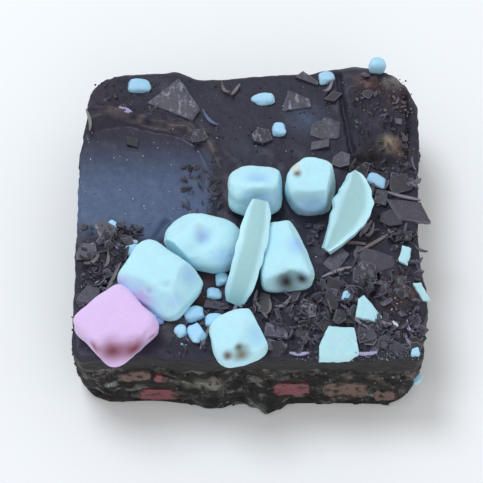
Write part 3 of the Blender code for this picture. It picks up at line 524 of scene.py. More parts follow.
def round_corner(u, v, z):
    """Move a place of the plain square so that the square has its rounded corners."""
    at_top, at_foot = CORNERS[(1 if u > 0 else -1, 1 if v > 0 else -1)]
    radius = at_foot + (at_top - at_foot) * ease(z / HEIGHT)
    over_u = abs(u) - (HALF - radius)
    over_v = abs(v) - (HALF - radius)
    if over_u <= 0 or over_v <= 0:
        return u, v
    shrink = max(over_u, over_v) / math.hypot(over_u, over_v)
    u = math.copysign(HALF - radius + over_u * shrink, u)
    v = math.copysign(HALF - radius + over_v * shrink, v)
    return u, v


def side_place(side, place_along):
    """Where a side lies, out from the middle, at a place along it seen from outside."""
    bends = {"front": FRONT_SIDE, "right": RIGHT_SIDE, "back": BACK_SIDE, "left": LEFT_SIDE}[side]
    mirrored = side in ("back", "left")
    return HALF + along(bends, -place_along if mirrored else place_along)


def side_turn(side):
    """The turn in plan that carries the front side to another side."""
    return Matrix.Rotation(math.radians(SIDE_TURNS[side]), 4, "Z")


BURIED_SPOTS = [
    (side_turn(side) @ Vector((place_along, -HALF, height)), max(half_length, half_height))
    for side, place_along, height, half_length, half_height, *_ in BURIED.values()
]


def near_buried(x, y, z):
    """1 where a buried piece shows in the cut face, 0 away from it."""
    here = Vector((x, y, z))
    nearest = min((here - spot).length - reach for spot, reach in BURIED_SPOTS)
    return 1.0 - ease(nearest / FLAT_ROUND_BURIED)


def crag(x, y, z):
    """How far the broken cut face stands out at a place, as in its solid."""
    coarse = CRAG_COARSE[1] * noise.noise(Vector((x, y, z * 1.3)) / CRAG_COARSE[0])
    fine = CRAG_FINE[1] * noise.noise(Vector((y, x, z * 1.6 + 40.0)) / CRAG_FINE[0])
    depth = 0.35 + 0.75 * ease((SEAM + 1.0 - z) / 3.0)
    return depth * (coarse + fine) * (1.0 - 0.9 * near_buried(x, y, z))


def fine_crag(x, y, z):
    """The crumbly grain of the cut face, and the smoother grain of the dark band above it."""
    if z > SEAM:
        return grains(x, y, z * 2.0, BAND_GRAINS)
    share = ease((SEAM - z) / 1.5)
    grain = grains(x + 60.0, y, z * 1.3, FACE_GRAINS)
    hollow = noise.noise(Vector((x, y - 80.0, z * 1.5)) / 2.6)
    grain -= 0.9 * ease((hollow - 0.15) / 0.25)
    return share * grain * (1.0 - 0.7 * near_buried(x, y, z))


def slab_point(raw):
    """Carry a point of the plain square slab to its place on the real one."""
    u, v, z = raw
    x, y = round_corner(u, v, z)
    share_x = (x + HALF) / SIDE
    share_y = (y + HALF) / SIDE
    left, right = along(LEFT_SIDE, v), along(RIGHT_SIDE, v)
    front, back = along(FRONT_SIDE, u), along(BACK_SIDE, u)
    x += right * share_x - left * (1.0 - share_x)
    y += back * share_y - front * (1.0 - share_y)
    rim = max(abs(u), abs(v)) > HALF - ON_RIM
    if rim and z > 0.01:
        out = Vector((x, y)).normalized()
        if abs(u) > HALF - ON_RIM and abs(v) < HALF - 4.0:
            out = Vector((math.copysign(1.0, u), 0.0))
        elif abs(v) > HALF - ON_RIM and abs(u) < HALF - 4.0:
            out = Vector((0.0, math.copysign(1.0, v)))
        step = crag(x, y, z) + fine_crag(x, y, z) * ease(z / 1.2)
        if v < -HALF + 0.01:
            for bulge_x, bulge_z, reach, rise in BULGES:
                step += rise * bell(math.hypot(x - bulge_x, z - bulge_z), reach)
        x += out.x * step
        y += out.y * step
    if z > SEAM:
        relief = top_height(x, y) - HEIGHT
        if z > HEIGHT - 0.01:
            relief += fine_relief(x, y) - 0.35 * ease((max(abs(u), abs(v)) - HALF + 0.9) / 0.9)
        z += relief * ease((z - SEAM) / TOP_LAYER)
    near_seam = max(0.0, 1.0 - abs(z - SEAM) / SEAM_WAVE_REACH)
    if rim:
        z += SEAM_WAVE[1] * near_seam * noise.noise(Vector((x, y, 70.0)) / SEAM_WAVE[0])
    return Vector((x, y, z))


def face_spot(side, place_along, z):
    """A place on a cut side, and the direction out of it."""
    turn = side_turn(side)
    raw = turn @ Vector((place_along, -HALF, 0.0))
    raw.z = z
    return slab_point(raw), (turn @ Vector((0.0, -1.0, 0.0)))


class Socket:
    """A value in a material that takes part in sums by adding Math nodes."""

    def __init__(self, finish, link):
        self.finish = finish
        self.link = link

    def __add__(self, other):
        return self.finish.maths("ADD", self, other)

    __radd__ = __add__

    def __mul__(self, other):
        return self.finish.maths("MULTIPLY", self, other)

    __rmul__ = __mul__

    def __sub__(self, other):
        return self.finish.maths("SUBTRACT", self, other)

    def __rsub__(self, other):
        return self.finish.maths("SUBTRACT", other, self)


class Finish:
    """A material that reads the colours painted on its piece."""

    def __init__(self, name, **constants):
        self.material = bpy.data.materials.new(name)
        self.material.use_nodes = True
        self.tree = self.material.node_tree
        self.shader = self.tree.nodes["Principled BSDF"]
        for socket, value in constants.items():
            self.shader.inputs[socket.replace("_", " ")].default_value = value
        self.place = self.node("ShaderNodeTexCoord", output="Object")
        painted = self.tree.nodes.new("ShaderNodeAttribute")
        painted.attribute_name = "tint"
        self.tint = Socket(self, painted.outputs["Color"])
        self.amount = Socket(self, painted.outputs["Alpha"])

    def node(self, kind, settings=None, inputs=None, output=0):
        """Add any node: its settings first, then the values or links of its sockets."""
        made = self.tree.nodes.new(kind)
        for name, value in (settings or {}).items():
            setattr(made, name, value)
        for name, value in (inputs or {}).items():
            self.feed(made.inputs[name], value)
        return Socket(self, made.outputs[output])

    def feed(self, socket, value):
        """Link a socket to a value in the material, or set it."""
        if isinstance(value, Socket):
            self.tree.links.new(value.link, socket)
        else:
            socket.default_value = value

    def maths(self, operation, first, second):
        """One Math node."""
        return self.node("ShaderNodeMath", {"operation": operation}, {0: first, 1: second})

    def grain(self, size_mm, detail=3.0, roughness=0.6, stretch=None):
        """Noise from 0 to 1 with grains of a size in millimetres."""
        place = self.place
        if stretch:
            place = self.node("ShaderNodeMapping", {}, {"Vector": place, "Scale": stretch})
        return self.node(
            "ShaderNodeTexNoise", {},
            {"Vector": place, "Scale": 1.0 / (size_mm * MILLIMETRE), "Detail": detail, "Roughness": roughness},
        )

    def cells(self, size_mm):
        """Distance from the nearest of points scattered a size in millimetres apart."""
        return self.node(
            "ShaderNodeTexVoronoi", {}, {"Vector": self.place, "Scale": 1.0 / (size_mm * MILLIMETRE)},
            output="Distance",
        )

    def step(self, value, low, high):
        """0 below one value, 1 above another."""
        return self.node(
            "ShaderNodeMapRange", {"interpolation_type": "SMOOTHSTEP"},
            {"Value": value, "From Min": low, "From Max": high},
        )

    def mix(self, share, first, second, blend_type="MIX"):
        """One colour over another."""
        settings = {"data_type": "RGBA", "blend_type": blend_type}
        return self.node("ShaderNodeMix", settings, {0: share, 6: first, 7: second}, output=2)

    def shade(self, colour, value):
        """A colour made lighter or darker by a value."""
        return self.node("ShaderNodeVectorMath", {"operation": "SCALE"}, {0: colour, "Scale": value})

    def done(self, colour, roughness=None, height=None, depth_mm=0.1):
        """Feed the shader and give back the material."""
        self.feed(self.shader.inputs["Base Color"], colour)
        if roughness is not None:
            self.feed(self.shader.inputs["Roughness"], roughness)
        if height is not None:
            bump = self.node("ShaderNodeBump", {}, {"Height": height, "Distance": depth_mm * MILLIMETRE})
            self.feed(self.shader.inputs["Normal"], bump)
        return self.material


def poured_finish():
    """Dark chocolate, glossier where the painted amount is high."""
    finish = Finish("poured_chocolate", Specular_IOR_Level=0.15)
    grain = finish.grain(1.3, 5.0)
    colour = finish.shade(finish.tint, 0.66 + grain * 0.68)
    dust = finish.step(finish.cells(1.7), 0.16, 0.06) * finish.step(finish.grain(4.0), 0.5, 0.62)
    colour = finish.mix(dust * 0.5, colour, (*srgb(130, 134, 150), 1.0))
    rough = 1.0 - finish.amount
    height = (finish.grain(0.9, 4.0) + finish.grain(0.35, 2.0) * 0.5) * (0.1 + rough * 0.9)
    return finish.done(colour, 0.24 + rough * 0.3 + grain * 0.1, height, 0.35)


def band_finish():
    """The dark cut through the poured layer, with faint streaks of the knife."""
    finish = Finish("cut_chocolate", Specular_IOR_Level=0.3)
    streak = finish.grain(1.6, 4.0, stretch=(0.35, 0.35, 1.8))
    colour = finish.shade(finish.tint, 0.55 + streak * 0.9)
    return finish.done(colour, 0.4 + streak * 0.2, streak + finish.grain(0.5) * 0.4, 0.25)


def crumb_finish(name, size_mm, contrast, roughness, depth_mm, specular=0.3):
    """A crumbly surface: the painted colour broken up by a fine grain."""
    finish = Finish(name, Specular_IOR_Level=specular)
    grain = finish.grain(size_mm, 6.0, 0.7)
    colour = finish.shade(finish.tint, 1.0 - contrast + grain * (2.0 * contrast))
    return finish.done(colour, roughness + grain * 0.15, grain + finish.grain(size_mm / 3) * 0.4, depth_mm)


def bloom_finish(name):
    """Dark chocolate flakes, with pale bloom where the painted amount is high."""
    finish = Finish(name, Specular_IOR_Level=0.4)
    grain = finish.grain(0.9, 5.0, 0.7)
    streak = finish.grain(1.1, 3.0, stretch=(1.0, 0.35, 1.0))
    colour = finish.shade(finish.tint, 0.7 + grain * 0.6)
    bloom = finish.step(grain * 0.5 + streak * 0.5, 0.5, 0.62) * finish.amount
    colour = finish.mix(bloom, colour, (*srgb(134, 136, 154), 1.0))
    return finish.done(colour, 0.34 + grain * 0.25, grain, 0.12)


def soft_finish(name, size_mm, depth_mm, roughness, scatter, specular=0.3):
    """Marshmallow or white chocolate: even, pale and a little see-through."""
    finish = Finish(
        name, Specular_IOR_Level=specular, Subsurface_Weight=scatter, Subsurface_Scale=0.0015,
    )
    grain = finish.grain(size_mm, 4.0)
    colour = finish.shade(finish.tint, 0.95 + grain * 0.1)
    return finish.done(colour, roughness + grain * 0.1, grain + finish.grain(size_mm / 5) * 0.25, depth_mm)


def finish_piece(name, bm, material, nodes, slot, sharp_degrees=None):
    """Turn a shape in millimetres into a piece that rides on the body and stands for its solids."""
    bmesh.ops.scale(bm, vec=(MILLIMETRE,) * 3, verts=bm.verts[:])
    mesh = bpy.data.meshes.new(name)
    bm.to_mesh(mesh)
    bm.free()
    mesh.shade_smooth()
    if sharp_degrees is not None:
        mesh.set_sharp_from_angle(angle=math.radians(sharp_degrees))
    return dress_mesh(name, mesh, material, nodes, slot)


def dress_mesh(name, mesh, material, nodes, slot):
    """Make a finished mesh a piece of the object."""
    for one in material if isinstance(material, (list, tuple)) else [material]:
        mesh.materials.append(one)
    piece = bpy.data.objects.new(name, mesh)
    bpy.context.scene.collection.objects.link(piece)
    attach(piece, BODY)
    if nodes:
        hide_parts(*nodes)
    return piece


def paint(bm, colour_at):
    """Paint every vertex with a colour and an amount."""
    layer = bm.verts.layers.float_color.new("tint")
    for vert in bm.verts:
        vert[layer] = colour_at(vert)


def loop_below(bm, edges, z, scale=1.0):
    """Pull a new loop of edges out of a loop, at another height and width."""
    made = bmesh.ops.extrude_edge_only(bm, edges=edges)["geom"]
    for vert in (item for item in made if isinstance(item, bmesh.types.BMVert)):
        vert.co = Vector((vert.co.x * scale, vert.co.y * scale, z))
    return [item for item in made if isinstance(item, bmesh.types.BMEdge) and item.is_boundary]


def levels(high, low, step):
    """Heights from one level down to another."""
    count = max(1, round((high - low) / step))
    return [high + (low - high) * (number + 1) / count for number in range(count)]


def soft_block(half, plan, axis, taper, cuts, seed):
    """A marshmallow: a block rounded by its powers in plan and along its axis."""
    bm = bmesh.new()
    bmesh.ops.create_cube(bm, size=2.0)
    bmesh.ops.subdivide_edges(bm, edges=bm.edges[:], cuts=cuts, use_grid_fill=True)
    shift = Vector((seed * 7.0, seed * 3.0, seed * 5.0))
    for vert in bm.verts:
        x, y, z = vert.co
        round_plan = (abs(x) ** plan + abs(y) ** plan) ** (1.0 / plan)
        length = (round_plan ** axis + abs(z) ** axis) ** (1.0 / axis)
        x, y, z = x / length, y / length, z / length
        narrow = 1.0 - taper * (y + 1.0) / 2.0
        dent = 1.0 + 0.06 * noise.noise(Vector((x, y, z)) * 1.6 + shift)
        vert.co = Vector((x * half[0] * narrow, y * half[1], z * half[2])) * dent
    return bm


def set_down(bm, centre, lean, turn):
    """Lean a shape towards the front, turn it in plan and move it to its place."""
    move = Matrix.Translation(centre) @ Matrix.Rotation(math.radians(lean), 4, "X")
    move = move @ Matrix.Rotation(math.radians(turn), 4, "Z")
    bmesh.ops.transform(bm, matrix=move, verts=bm.verts[:])


def press_flats(bm, centre, flats):
    """Press a marshmallow flat where it lay against something."""
    for direction, distance in flats:
        out = Vector(direction).normalized()
        for vert in bm.verts:
            over = (vert.co - centre).dot(out) - distance
            if over > FLAT_SOFTNESS:
                vert.co -= out * over
            elif over > -FLAT_SOFTNESS:
                vert.co -= out * (over + FLAT_SOFTNESS) ** 2 / (4.0 * FLAT_SOFTNESS)


def skin_spot(bm, pixel):
    """The place on a shape's skin that the photograph shows at a pixel."""
    ray = sight(pixel).normalized()
    near = []
    for vert in bm.verts:
        step = vert.co - Vector(EYE)
        off = (step - ray * step.dot(ray)).length
        near.append((round(off / SKIN_STEP), step.dot(ray), vert.index))
    bm.verts.ensure_lookup_table()
    return bm.verts[min(near)[2]].co.copy()


def on_skin(bm, rows):
    """The same rows, with the place on the skin for each pixel."""
    bm.verts.index_update()
    return [(skin_spot(bm, pixel), *values) for pixel, *values in rows]


def crease(bm, centre, dents, wrinkle):
    """Press dents into a marshmallow, raise its swellings and wrinkle its skin."""
    middle = Vector(centre)
    for vert in bm.verts:
        out = (vert.co - middle).normalized()
        step = wrinkle * noise.noise(vert.co / 2.2) + 0.5 * wrinkle * noise.noise(vert.co / 0.9)
        for spot, reach, depth in dents:
            distance = (vert.co - Vector(spot)).length
            if distance < 1.6 * reach:
                step -= depth * bell(distance, reach)
        vert.co += out * step


def stain_and_shade_painter(colour, spots):
    """A painter that lays stains, painted shade and painted highlights over a plain colour."""
    def colour_at(vert):
        here = colour
        for spot, reach, mark_colour, share in spots:
            distance = (vert.co - Vector(spot)).length
            if distance < 1.6 * reach:
                here = blend(here, srgb(*mark_colour), share * bell(distance, reach))
        return (*here, 1.0)
    return colour_at


class Template:
    """A small shape that is strewn many times: its corners, and its faces with a mark for its rim."""

    def __init__(self, bm, rim=()):
        bm.verts.index_update()
        self.places = [vert.co.copy() for vert in bm.verts]
        self.faces = [([vert.index for vert in face.verts], face in rim) for face in bm.faces]
        bm.free()


def flake_template(draw):
    """A thin broken flake of half length 1 and thickness 1, with a bevelled rim."""
    bm = bmesh.new()
    bmesh.ops.create_cone(
        bm, cap_ends=True, segments=draw.choice((4, 5, 5, 6, 7)), radius1=0.88, radius2=1.0, depth=1.0
    )
    shift = Vector((draw.uniform(0, 90), draw.uniform(0, 90), 0.0))
    for vert in bm.verts:
        outwards = Vector((vert.co.x, vert.co.y, 0.0)).normalized()
        uneven = 1.0 + 0.7 * noise.noise(outwards * 1.4 + shift)
        vert.co.x *= uneven
        vert.co.y *= uneven
    top = max(bm.faces, key=lambda face: face.calc_center_median().z)
    ring = bmesh.ops.inset_region(bm, faces=[top], thickness=0.16)["faces"]
    for vert in {vert for face in ring for vert in face.verts} - set(top.verts):
        vert.co.z = 0.25
    return Template(bm, ring)


def outline_template(corners):
    """A broken piece of half length 1, half width 1 and thickness 1, from its outline."""
    bm = bmesh.new()
    face = bm.faces.new([bm.verts.new((x, y, 0.5)) for x, y in corners])
    made = bmesh.ops.extrude_face_region(bm, geom=[face], use_keep_orig=True)["geom"]
    lower = [item for item in made if isinstance(item, bmesh.types.BMVert)]
    bmesh.ops.translate(bm, vec=(0.0, 0.0, -1.0), verts=lower)
    bmesh.ops.recalc_face_normals(bm, faces=bm.faces[:])
    top = max(bm.faces, key=lambda one: one.calc_center_median().z)
    ring = bmesh.ops.inset_region(bm, faces=[top], thickness=0.12)["faces"]
    return Template(bm, ring)


def shaving_template(draw):
    """A narrow curl of half length 1, half width 1 and thickness 1, bent along its length."""
    bm = bmesh.new()
    bmesh.ops.create_cube(bm, size=2.0)
    bmesh.ops.scale(bm, vec=(1.0, 1.0, 0.5), verts=bm.verts[:])
    long_edges = [edge for edge in bm.edges if abs(edge.verts[0].co.x - edge.verts[1].co.x) > 1.0]
    bmesh.ops.subdivide_edges(bm, edges=long_edges, cuts=4, use_grid_fill=True)
    bm.normal_update()
    rim = [face for face in bm.faces if abs(face.normal.z) < 0.5]
    bow = draw.uniform(-1.5, 1.5)
    curl = draw.uniform(-0.5, 2.5)
    narrow = draw.uniform(0.2, 0.8)
    for vert in bm.verts:
        bend = vert.co.x * vert.co.x
        vert.co.y = vert.co.y * (1.0 - narrow * bend) + bow * bend
        vert.co.z += curl * bend
    return Template(bm, rim)


def crumb_template(draw):
    """An uneven crumb of half width 1."""
    bm = bmesh.new()
    bmesh.ops.create_icosphere(bm, subdivisions=1, radius=1.0)
    for vert in bm.verts:
        vert.co *= draw.uniform(0.7, 1.15)
    return Template(bm)


def block_template(draw, cuts):
    """A torn bit of marshmallow of half width 1, with rounded corners."""
    bm = soft_block((1.0, 1.0, 0.9), draw.uniform(2.6, 4.2), draw.uniform(2.4, 3.6), 0.1, cuts, draw.randint(0, 99))
    shift = Vector((draw.uniform(0, 90), 0.0, 0.0))
    for vert in bm.verts:
        vert.co *= 1.0 + 0.22 * noise.noise(vert.co * 1.1 + shift) + 0.06 * noise.noise(vert.co * 3.5 + shift)
    return Template(bm)


def strewn_piece(name, shapes, material, nodes, slot, smooth=False):
    """Join many small shapes into one piece. Each row is a template, its place and its two colours."""
    places, faces, tints = [], [], []
    for template, move, face_tint, rim_tint in shapes:
        first = len(places)
        places += [(move @ place) * MILLIMETRE for place in template.places]
        for corners, on_rim in template.faces:
            faces.append([first + corner for corner in corners])
            tints += (rim_tint if on_rim else face_tint) * len(corners)
    mesh = bpy.data.meshes.new(name)
    mesh.from_pydata(places, [], faces)
    mesh.color_attributes.new("tint", "FLOAT_COLOR", "CORNER").data.foreach_set("color", tints)
    if smooth:
        mesh.shade_smooth()
    return dress_mesh(name, mesh, material, nodes, slot)


def pose(place, turn, tilt_x, tilt_y, sizes):
    """Where a strewn shape lies: its place, its turn in plan, its tilts in degrees and its half sizes."""
    move = Matrix.Translation(place) @ Matrix.Rotation(math.radians(turn), 4, "Z")
    move = move @ Matrix.Rotation(math.radians(tilt_x), 4, "X") @ Matrix.Rotation(math.radians(tilt_y), 4, "Y")
    return move @ Matrix.Diagonal((*sizes, 1.0))


# A bit of marshmallow stuck low on the right side near the front: place along the side
# and height, half sizes, turn
CORNER_BIT = ((-36.0, 5.0), (1.5, 1.5, 1.2), 30.0)

# Small flakes on the top: outline, pixel, half length, half width, turn in plan
NAMED_FLAKES = (
    ("kite", (132, 142), 2.0, 1.5, -50), ("tile", (199, 136), 2.0, 2.0, 10),
    ("fan", (261, 136), 2.5, 2.5, 20), ("wedge", (308, 79), 3.0, 1.2, -30),
    ("kite", (333, 97), 2.5, 1.5, 20), ("block", (320, 145), 2.5, 1.2, 10),
    ("fan", (341, 160), 2.2, 2.2, 0), ("wedge", (363, 170), 2.5, 1.8, 60),
    ("block", (381, 198), 2.2, 1.6, 85), ("fan", (391, 218), 2.8, 2.5, 0),
    ("tile", (400, 184), 3.0, 2.5, 20), ("block", (404, 236), 2.0, 1.6, 0),
    ("fan", (364, 273), 3.0, 3.0, 10), ("block", (332, 294), 4.5, 1.8, 85),
    ("block", (345, 317), 3.0, 1.6, 0), ("corner", (394, 345), 3.5, 2.5, 0),
    ("tile", (366, 334), 2.2, 2.2, 15), ("block", (276, 331), 3.0, 2.2, 5),
    ("corner", (272, 343), 3.5, 1.8, 5), ("block", (264, 304), 2.8, 1.3, 85),
    ("fan", (306, 311), 2.5, 2.0, 0), ("fan", (107, 231), 3.2, 2.2, -60),
    ("tile", (87, 252), 2.5, 2.2, 0), ("block", (212, 305), 2.0, 1.2, 0),
)

# Torn bits of marshmallow on the top: pixel, half length, half width, turn in plan
MALLOW_BITS = (
    ((139, 86), 3.0, 2.0, 0), ((264, 99), 3.0, 1.5, 0), ((279, 130), 1.7, 1.7, 0),
    ((326, 78), 2.0, 1.6, 20), ((377, 181), 2.6, 1.5, -25),
    ((113, 225), 1.3, 1.0, -40), ((131, 251), 1.8, 1.5, 0), ((150, 315), 2.2, 1.0, -35),
    ((194, 314), 2.5, 1.8, 15), ((214, 320), 2.3, 1.7, 0), ((181, 331), 1.5, 1.5, 0),
    ((196, 333), 2.5, 1.7, -60), ((222, 279), 1.5, 1.5, 0), ((214, 294), 1.8, 1.5, 0),
    ((346, 297), 1.7, 1.0, 70), ((415, 352), 1.0, 1.0, 0),
)
BIT_HEIGHT = 0.8
BIT_LIFT = 0.35

# The bit that stands at the back edge: pixel of its middle, how far that is above the top,
# half sizes
BACK_BIT = ((377, 66), 2.2, (2.2, 1.5, 3.0))

FLAKE_SHOWS = 0.55
FLAKE_TILT = 12.0

# Shavings on the top: pixel, half length, turn in plan, colour on the screen
PALE, WARM, LILAC = (132, 124, 138), (116, 106, 108), (168, 160, 196)
SHAVINGS = (
    ((209, 120), 3.0, -50, (90, 102, 136)), ((90, 121), 3.0, 100, (124, 126, 120)),
    ((224, 90), 1.8, -55, WARM), ((235, 91), 2.0, 60, WARM), ((329, 89), 1.8, 55, PALE),
    ((404, 197), 4.0, -12, (128, 120, 138)), ((374, 243), 5.5, 35, (112, 100, 100)),
    ((355, 243), 2.5, -8, WARM), ((363, 231), 2.0, 60, PALE), ((367, 228), 2.0, 60, PALE),
    ((371, 233), 2.0, 60, PALE), ((353, 316), 3.2, -55, PALE), ((396, 325), 0.9, -50, (214, 220, 230)),
    ((408, 328), 1.6, -65, LILAC), ((409, 343), 2.0, -55, PALE), ((384, 323), 2.0, -20, PALE),
    ((255, 301), 2.8, 85, PALE), ((234, 311), 1.8, 60, PALE), ((270, 308), 2.0, 80, WARM),
    ((263, 312), 2.5, -60, WARM), ((284, 305), 2.2, 35, PALE), ((112, 281), 4.8, 68, (116, 108, 112)),
    ((108, 262), 2.3, 80, WARM), ((88, 246), 1.5, 20, PALE), ((93, 262), 2.0, 35, WARM),
    ((97, 226), 1.0, 85, PALE), ((101, 236), 1.5, -60, PALE), ((337, 271), 4.0, 22, PALE),
    ((205, 338), 3.0, 70, WARM), ((299, 354), 2.2, 0, LILAC), ((366, 354), 2.5, 0, LILAC),
)
SHAVING_HALF_WIDTH = 0.4

# Small pale pieces on the top: pixel, half length, half width, turn in plan, colour
PALE_BITS = (
    ((134, 242), 1.0, 0.5, 0, (196, 220, 236)), ((117, 246), 1.0, 0.5, -60, LILAC),
    ((172, 316), 0.5, 0.5, 0, LILAC), ((160, 320), 1.0, 1.0, 0, (150, 170, 220)),
    ((100, 283), 1.5, 0.6, 30, (226, 228, 232)), ((125, 110), 1.8, 0.6, -20, LILAC),
    ((110, 354), 1.5, 1.4, 0, (238, 184, 226)), ((373, 352), 0.7, 0.5, 0, LILAC),
)

# Specks of dust on the pool and the smooth top, in pixels
SPECKS = (
    (92, 133), (114, 158), (127, 160), (143, 156), (158, 148), (98, 142), (171, 165), (85, 192),
    (95, 193), (133, 199), (144, 206), (120, 190), (163, 190), (168, 199), (179, 191), (148, 223),
    (198, 152), (283, 106), (258, 128), (256, 146), (286, 151), (217, 138), (316, 257), (245, 311),
)
SPECK_HALF = 0.25

# Where shavings lie thick on the top: x from, x to, y from, y to, how many, largest half length
FLAKE_FIELDS = (
    (5.0, 39.0, -39.3, -20.0, 640, 2.4),
    (24.0, 40.0, -20.0, 13.0, 300, 2.4),
    (-39.5, -26.0, -33.0, -4.0, 340, 2.0),
    (-20.0, 8.0, -39.3, -24.0, 190, 1.8),
    (13.0, 28.0, -22.0, -4.0, 90, 2.2),
    (-16.0, -7.0, -2.0, 14.0, 60, 1.6),
    (24.0, 38.0, 14.0, 38.0, 60, 1.5),
    (-38.0, -20.0, 28.0, 37.0, 26, 1.8),
)
SEED = 3


def footprints():
    """Circles that hold every larger piece on the top."""
    taken = []
    for _, pixel, height, half, *_ in MARSHMALLOWS:
        taken.append((*seen_at(pixel, height).xy, max(half[:2]) * 1.05))
    for _, pixel, half_length, half_width, *_ in (*WHITE_SHARDS.values(), *DARK_SHARDS.values()):
        taken.append((*seen_on_top(pixel).xy, max(half_length, half_width)))
    for start, middle, end, half_width, end_width, *_, fullness in CURLED_SHARDS.values():
        for share in (0.0, 0.25, 0.5, 0.75, 1.0):
            spot, _ = bent_line(start, middle, end, share)
            taken.append((*spot.xy, curl_width(share, half_width, end_width, fullness) + 1.0))
    return taken


def clear_of(x, y, taken, margin):
    """True if a place is clear of every circle."""
    return all(math.hypot(x - a, y - b) > reach + margin for a, b, reach in taken)


def on_top(x, y):
    """True if a place lies inside the square's upper edge."""
    edge = slab_point(Vector((x, y, HEIGHT)))
    return max(abs(edge.x), abs(edge.y)) < HALF + 1.5


class RoadSizes(bpy.types.PropertyGroup):
    """Sizes of the fine detail."""

    cell: bpy.props.FloatProperty(
        name="Cell of the chocolate", description="Width of one face of the poured chocolate and the cut sides",
        default=0.36 * MILLIMETRE, min=0.0001, unit="LENGTH", precision=5,
    )
    wrinkle: bpy.props.FloatProperty(
        name="Marshmallow wrinkles", description="Height of the wrinkles in the marshmallows' skin",
        default=0.1 * MILLIMETRE, min=0.0, unit="LENGTH", precision=5,
    )
    flake_thickness: bpy.props.FloatProperty(
        name="Flake thickness", description="Thickness of the small chocolate flakes",
        default=0.5 * MILLIMETRE, min=0.0001, unit="LENGTH", precision=5,
    )
    fill: bpy.props.FloatProperty(
        name="Strewing", description="Share of the flakes and crumbs that are strewn", default=1.0, min=0.0,
        max=2.0, subtype="FACTOR",
    )


def colour_setting(label, meaning, red, green, blue):
    """A colour that the user can change, given by its screen values."""
    return bpy.props.FloatVectorProperty(
        name=label, description=meaning, subtype="COLOR", size=3, min=0.0, max=1.0,
        default=srgb(red, green, blue),
    )


class RoadColours(bpy.types.PropertyGroup):
    """Colours of the pieces."""

    chocolate: colour_setting("Dark chocolate", "Plain dark chocolate on the top", 56, 54, 66)
    pool_far: colour_setting("Pool, far side", "The smooth pool close under its lip", 54, 50, 62)
    # Painted reflection: the near side of the pool carries a painted bluish sky reflection, not a haze of the
    # chocolate itself.
    pool_near_sheen: colour_setting("Pool, near side", "The hazy front of the smooth pool", 84, 98, 126)
    lip: colour_setting("Lip", "The pale brown lip of the pool", 108, 96, 98)
    cut: colour_setting("Cut chocolate", "The dark band where the knife went through", 34, 32, 34)
    mix: colour_setting("Mix", "The dark mix under the poured layer", 36, 34, 34)
    mix_pale: colour_setting("Pale mix", "Crumbs bound in the mix", 112, 106, 102)
    marshmallow: colour_setting("Marshmallow", "White marshmallow in cool light", 194, 239, 252)
    pink: colour_setting("Pink marshmallow", "Pink marshmallow in cool light", 231, 202, 246)
    bit: colour_setting("Marshmallow bit", "Small bits of marshmallow", 182, 228, 255)
    white_face: colour_setting("White chocolate", "Smooth face of white chocolate", 168, 210, 214)
    white_edge: colour_setting("White chocolate edge", "Broken edge of white chocolate", 196, 240, 250)
    flake: colour_setting("Flake", "Smooth face of a dark flake", 72, 68, 78)
    flake_edge: colour_setting("Flake edge", "Broken edge of a dark flake", 118, 114, 128)
    jelly: colour_setting("Jelly", "Red jelly piece in the cut", 128, 66, 74)
    biscuit: colour_setting("Biscuit", "Biscuit in the cut", 122, 104, 96)


def sizes():
    """The size settings."""
    return bpy.context.scene.rocky_road_sizes


def colours():
    """The colour settings."""
    return bpy.context.scene.rocky_road_colours


def top_colour(vert):
    """The poured chocolate's colour, with a painted bluish sky reflection on the pool and painted shade in the
    hollow at the back right, and its gloss as the amount.
    """
    x, y, _ = vert.co
    tones = colours()
    colour = tuple(tones.chocolate)
    pool = in_pool(x, y)
    # Painted reflection: the pool runs from its dark far side under the lip to a painted bluish sky reflection
    # towards its front.
    painted_sheen = ease((24.0 - y) / 20.0)
    colour = blend(colour, blend(tones.pool_far, tones.pool_near_sheen, painted_sheen), pool)
    lip = bell(to_polyline(x, y, LIP), 1.2) * (0.5 + noise.noise(Vector((x, y, 4.0)) / 1.6))
    colour = blend(colour, tones.lip, min(1.0, max(0.0, lip)))
    for patch_x, patch_y, reach, shade, share in TOP_TINTS:
        distance = math.hypot(x - patch_x, y - patch_y)
        if distance < 1.6 * reach:
            broken = 0.75 + 0.5 * noise.noise(Vector((x, y, patch_x)) / 1.7)
            colour = blend(colour, srgb(*shade), min(1.0, share * broken * bell(distance, reach)))
    calm = max(pool, 0.8 * (1.0 - is_shaved(x, y)))
    return (*colour, calm)


def face_colour(place):
    """The mix's colour in the cut sides: dark, with pale crumbly patches."""
    x, y, z = place
    tones = colours()
    broad = noise.noise(Vector((x, y, z * 1.7)) / 3.4)
    fine = noise.noise(Vector((x + 30.0, y, z * 1.5)) / 1.1)
    colour = blend(tones.mix, tones.mix_pale, ease((broad + 0.5 * fine - 0.05) / 0.6))
    on_front = y < -HALF + 6.0
    for patch_x, patch_z, reach_along, reach_up, shade, share in FACE_TINTS:
        spot = x if on_front else (y if abs(x) > abs(y) else -x)
        distance = math.hypot((spot - patch_x) / reach_along, (z - patch_z) / reach_up)
        if distance < 1.6:
            broken = 0.95 + 0.9 * noise.noise(Vector((x, y, z)) / 0.9)
            colour = blend(colour, srgb(*shade), min(1.0, max(0.0, share * broken * bell(distance, 1.0))))
    return (*colour, 0.0)


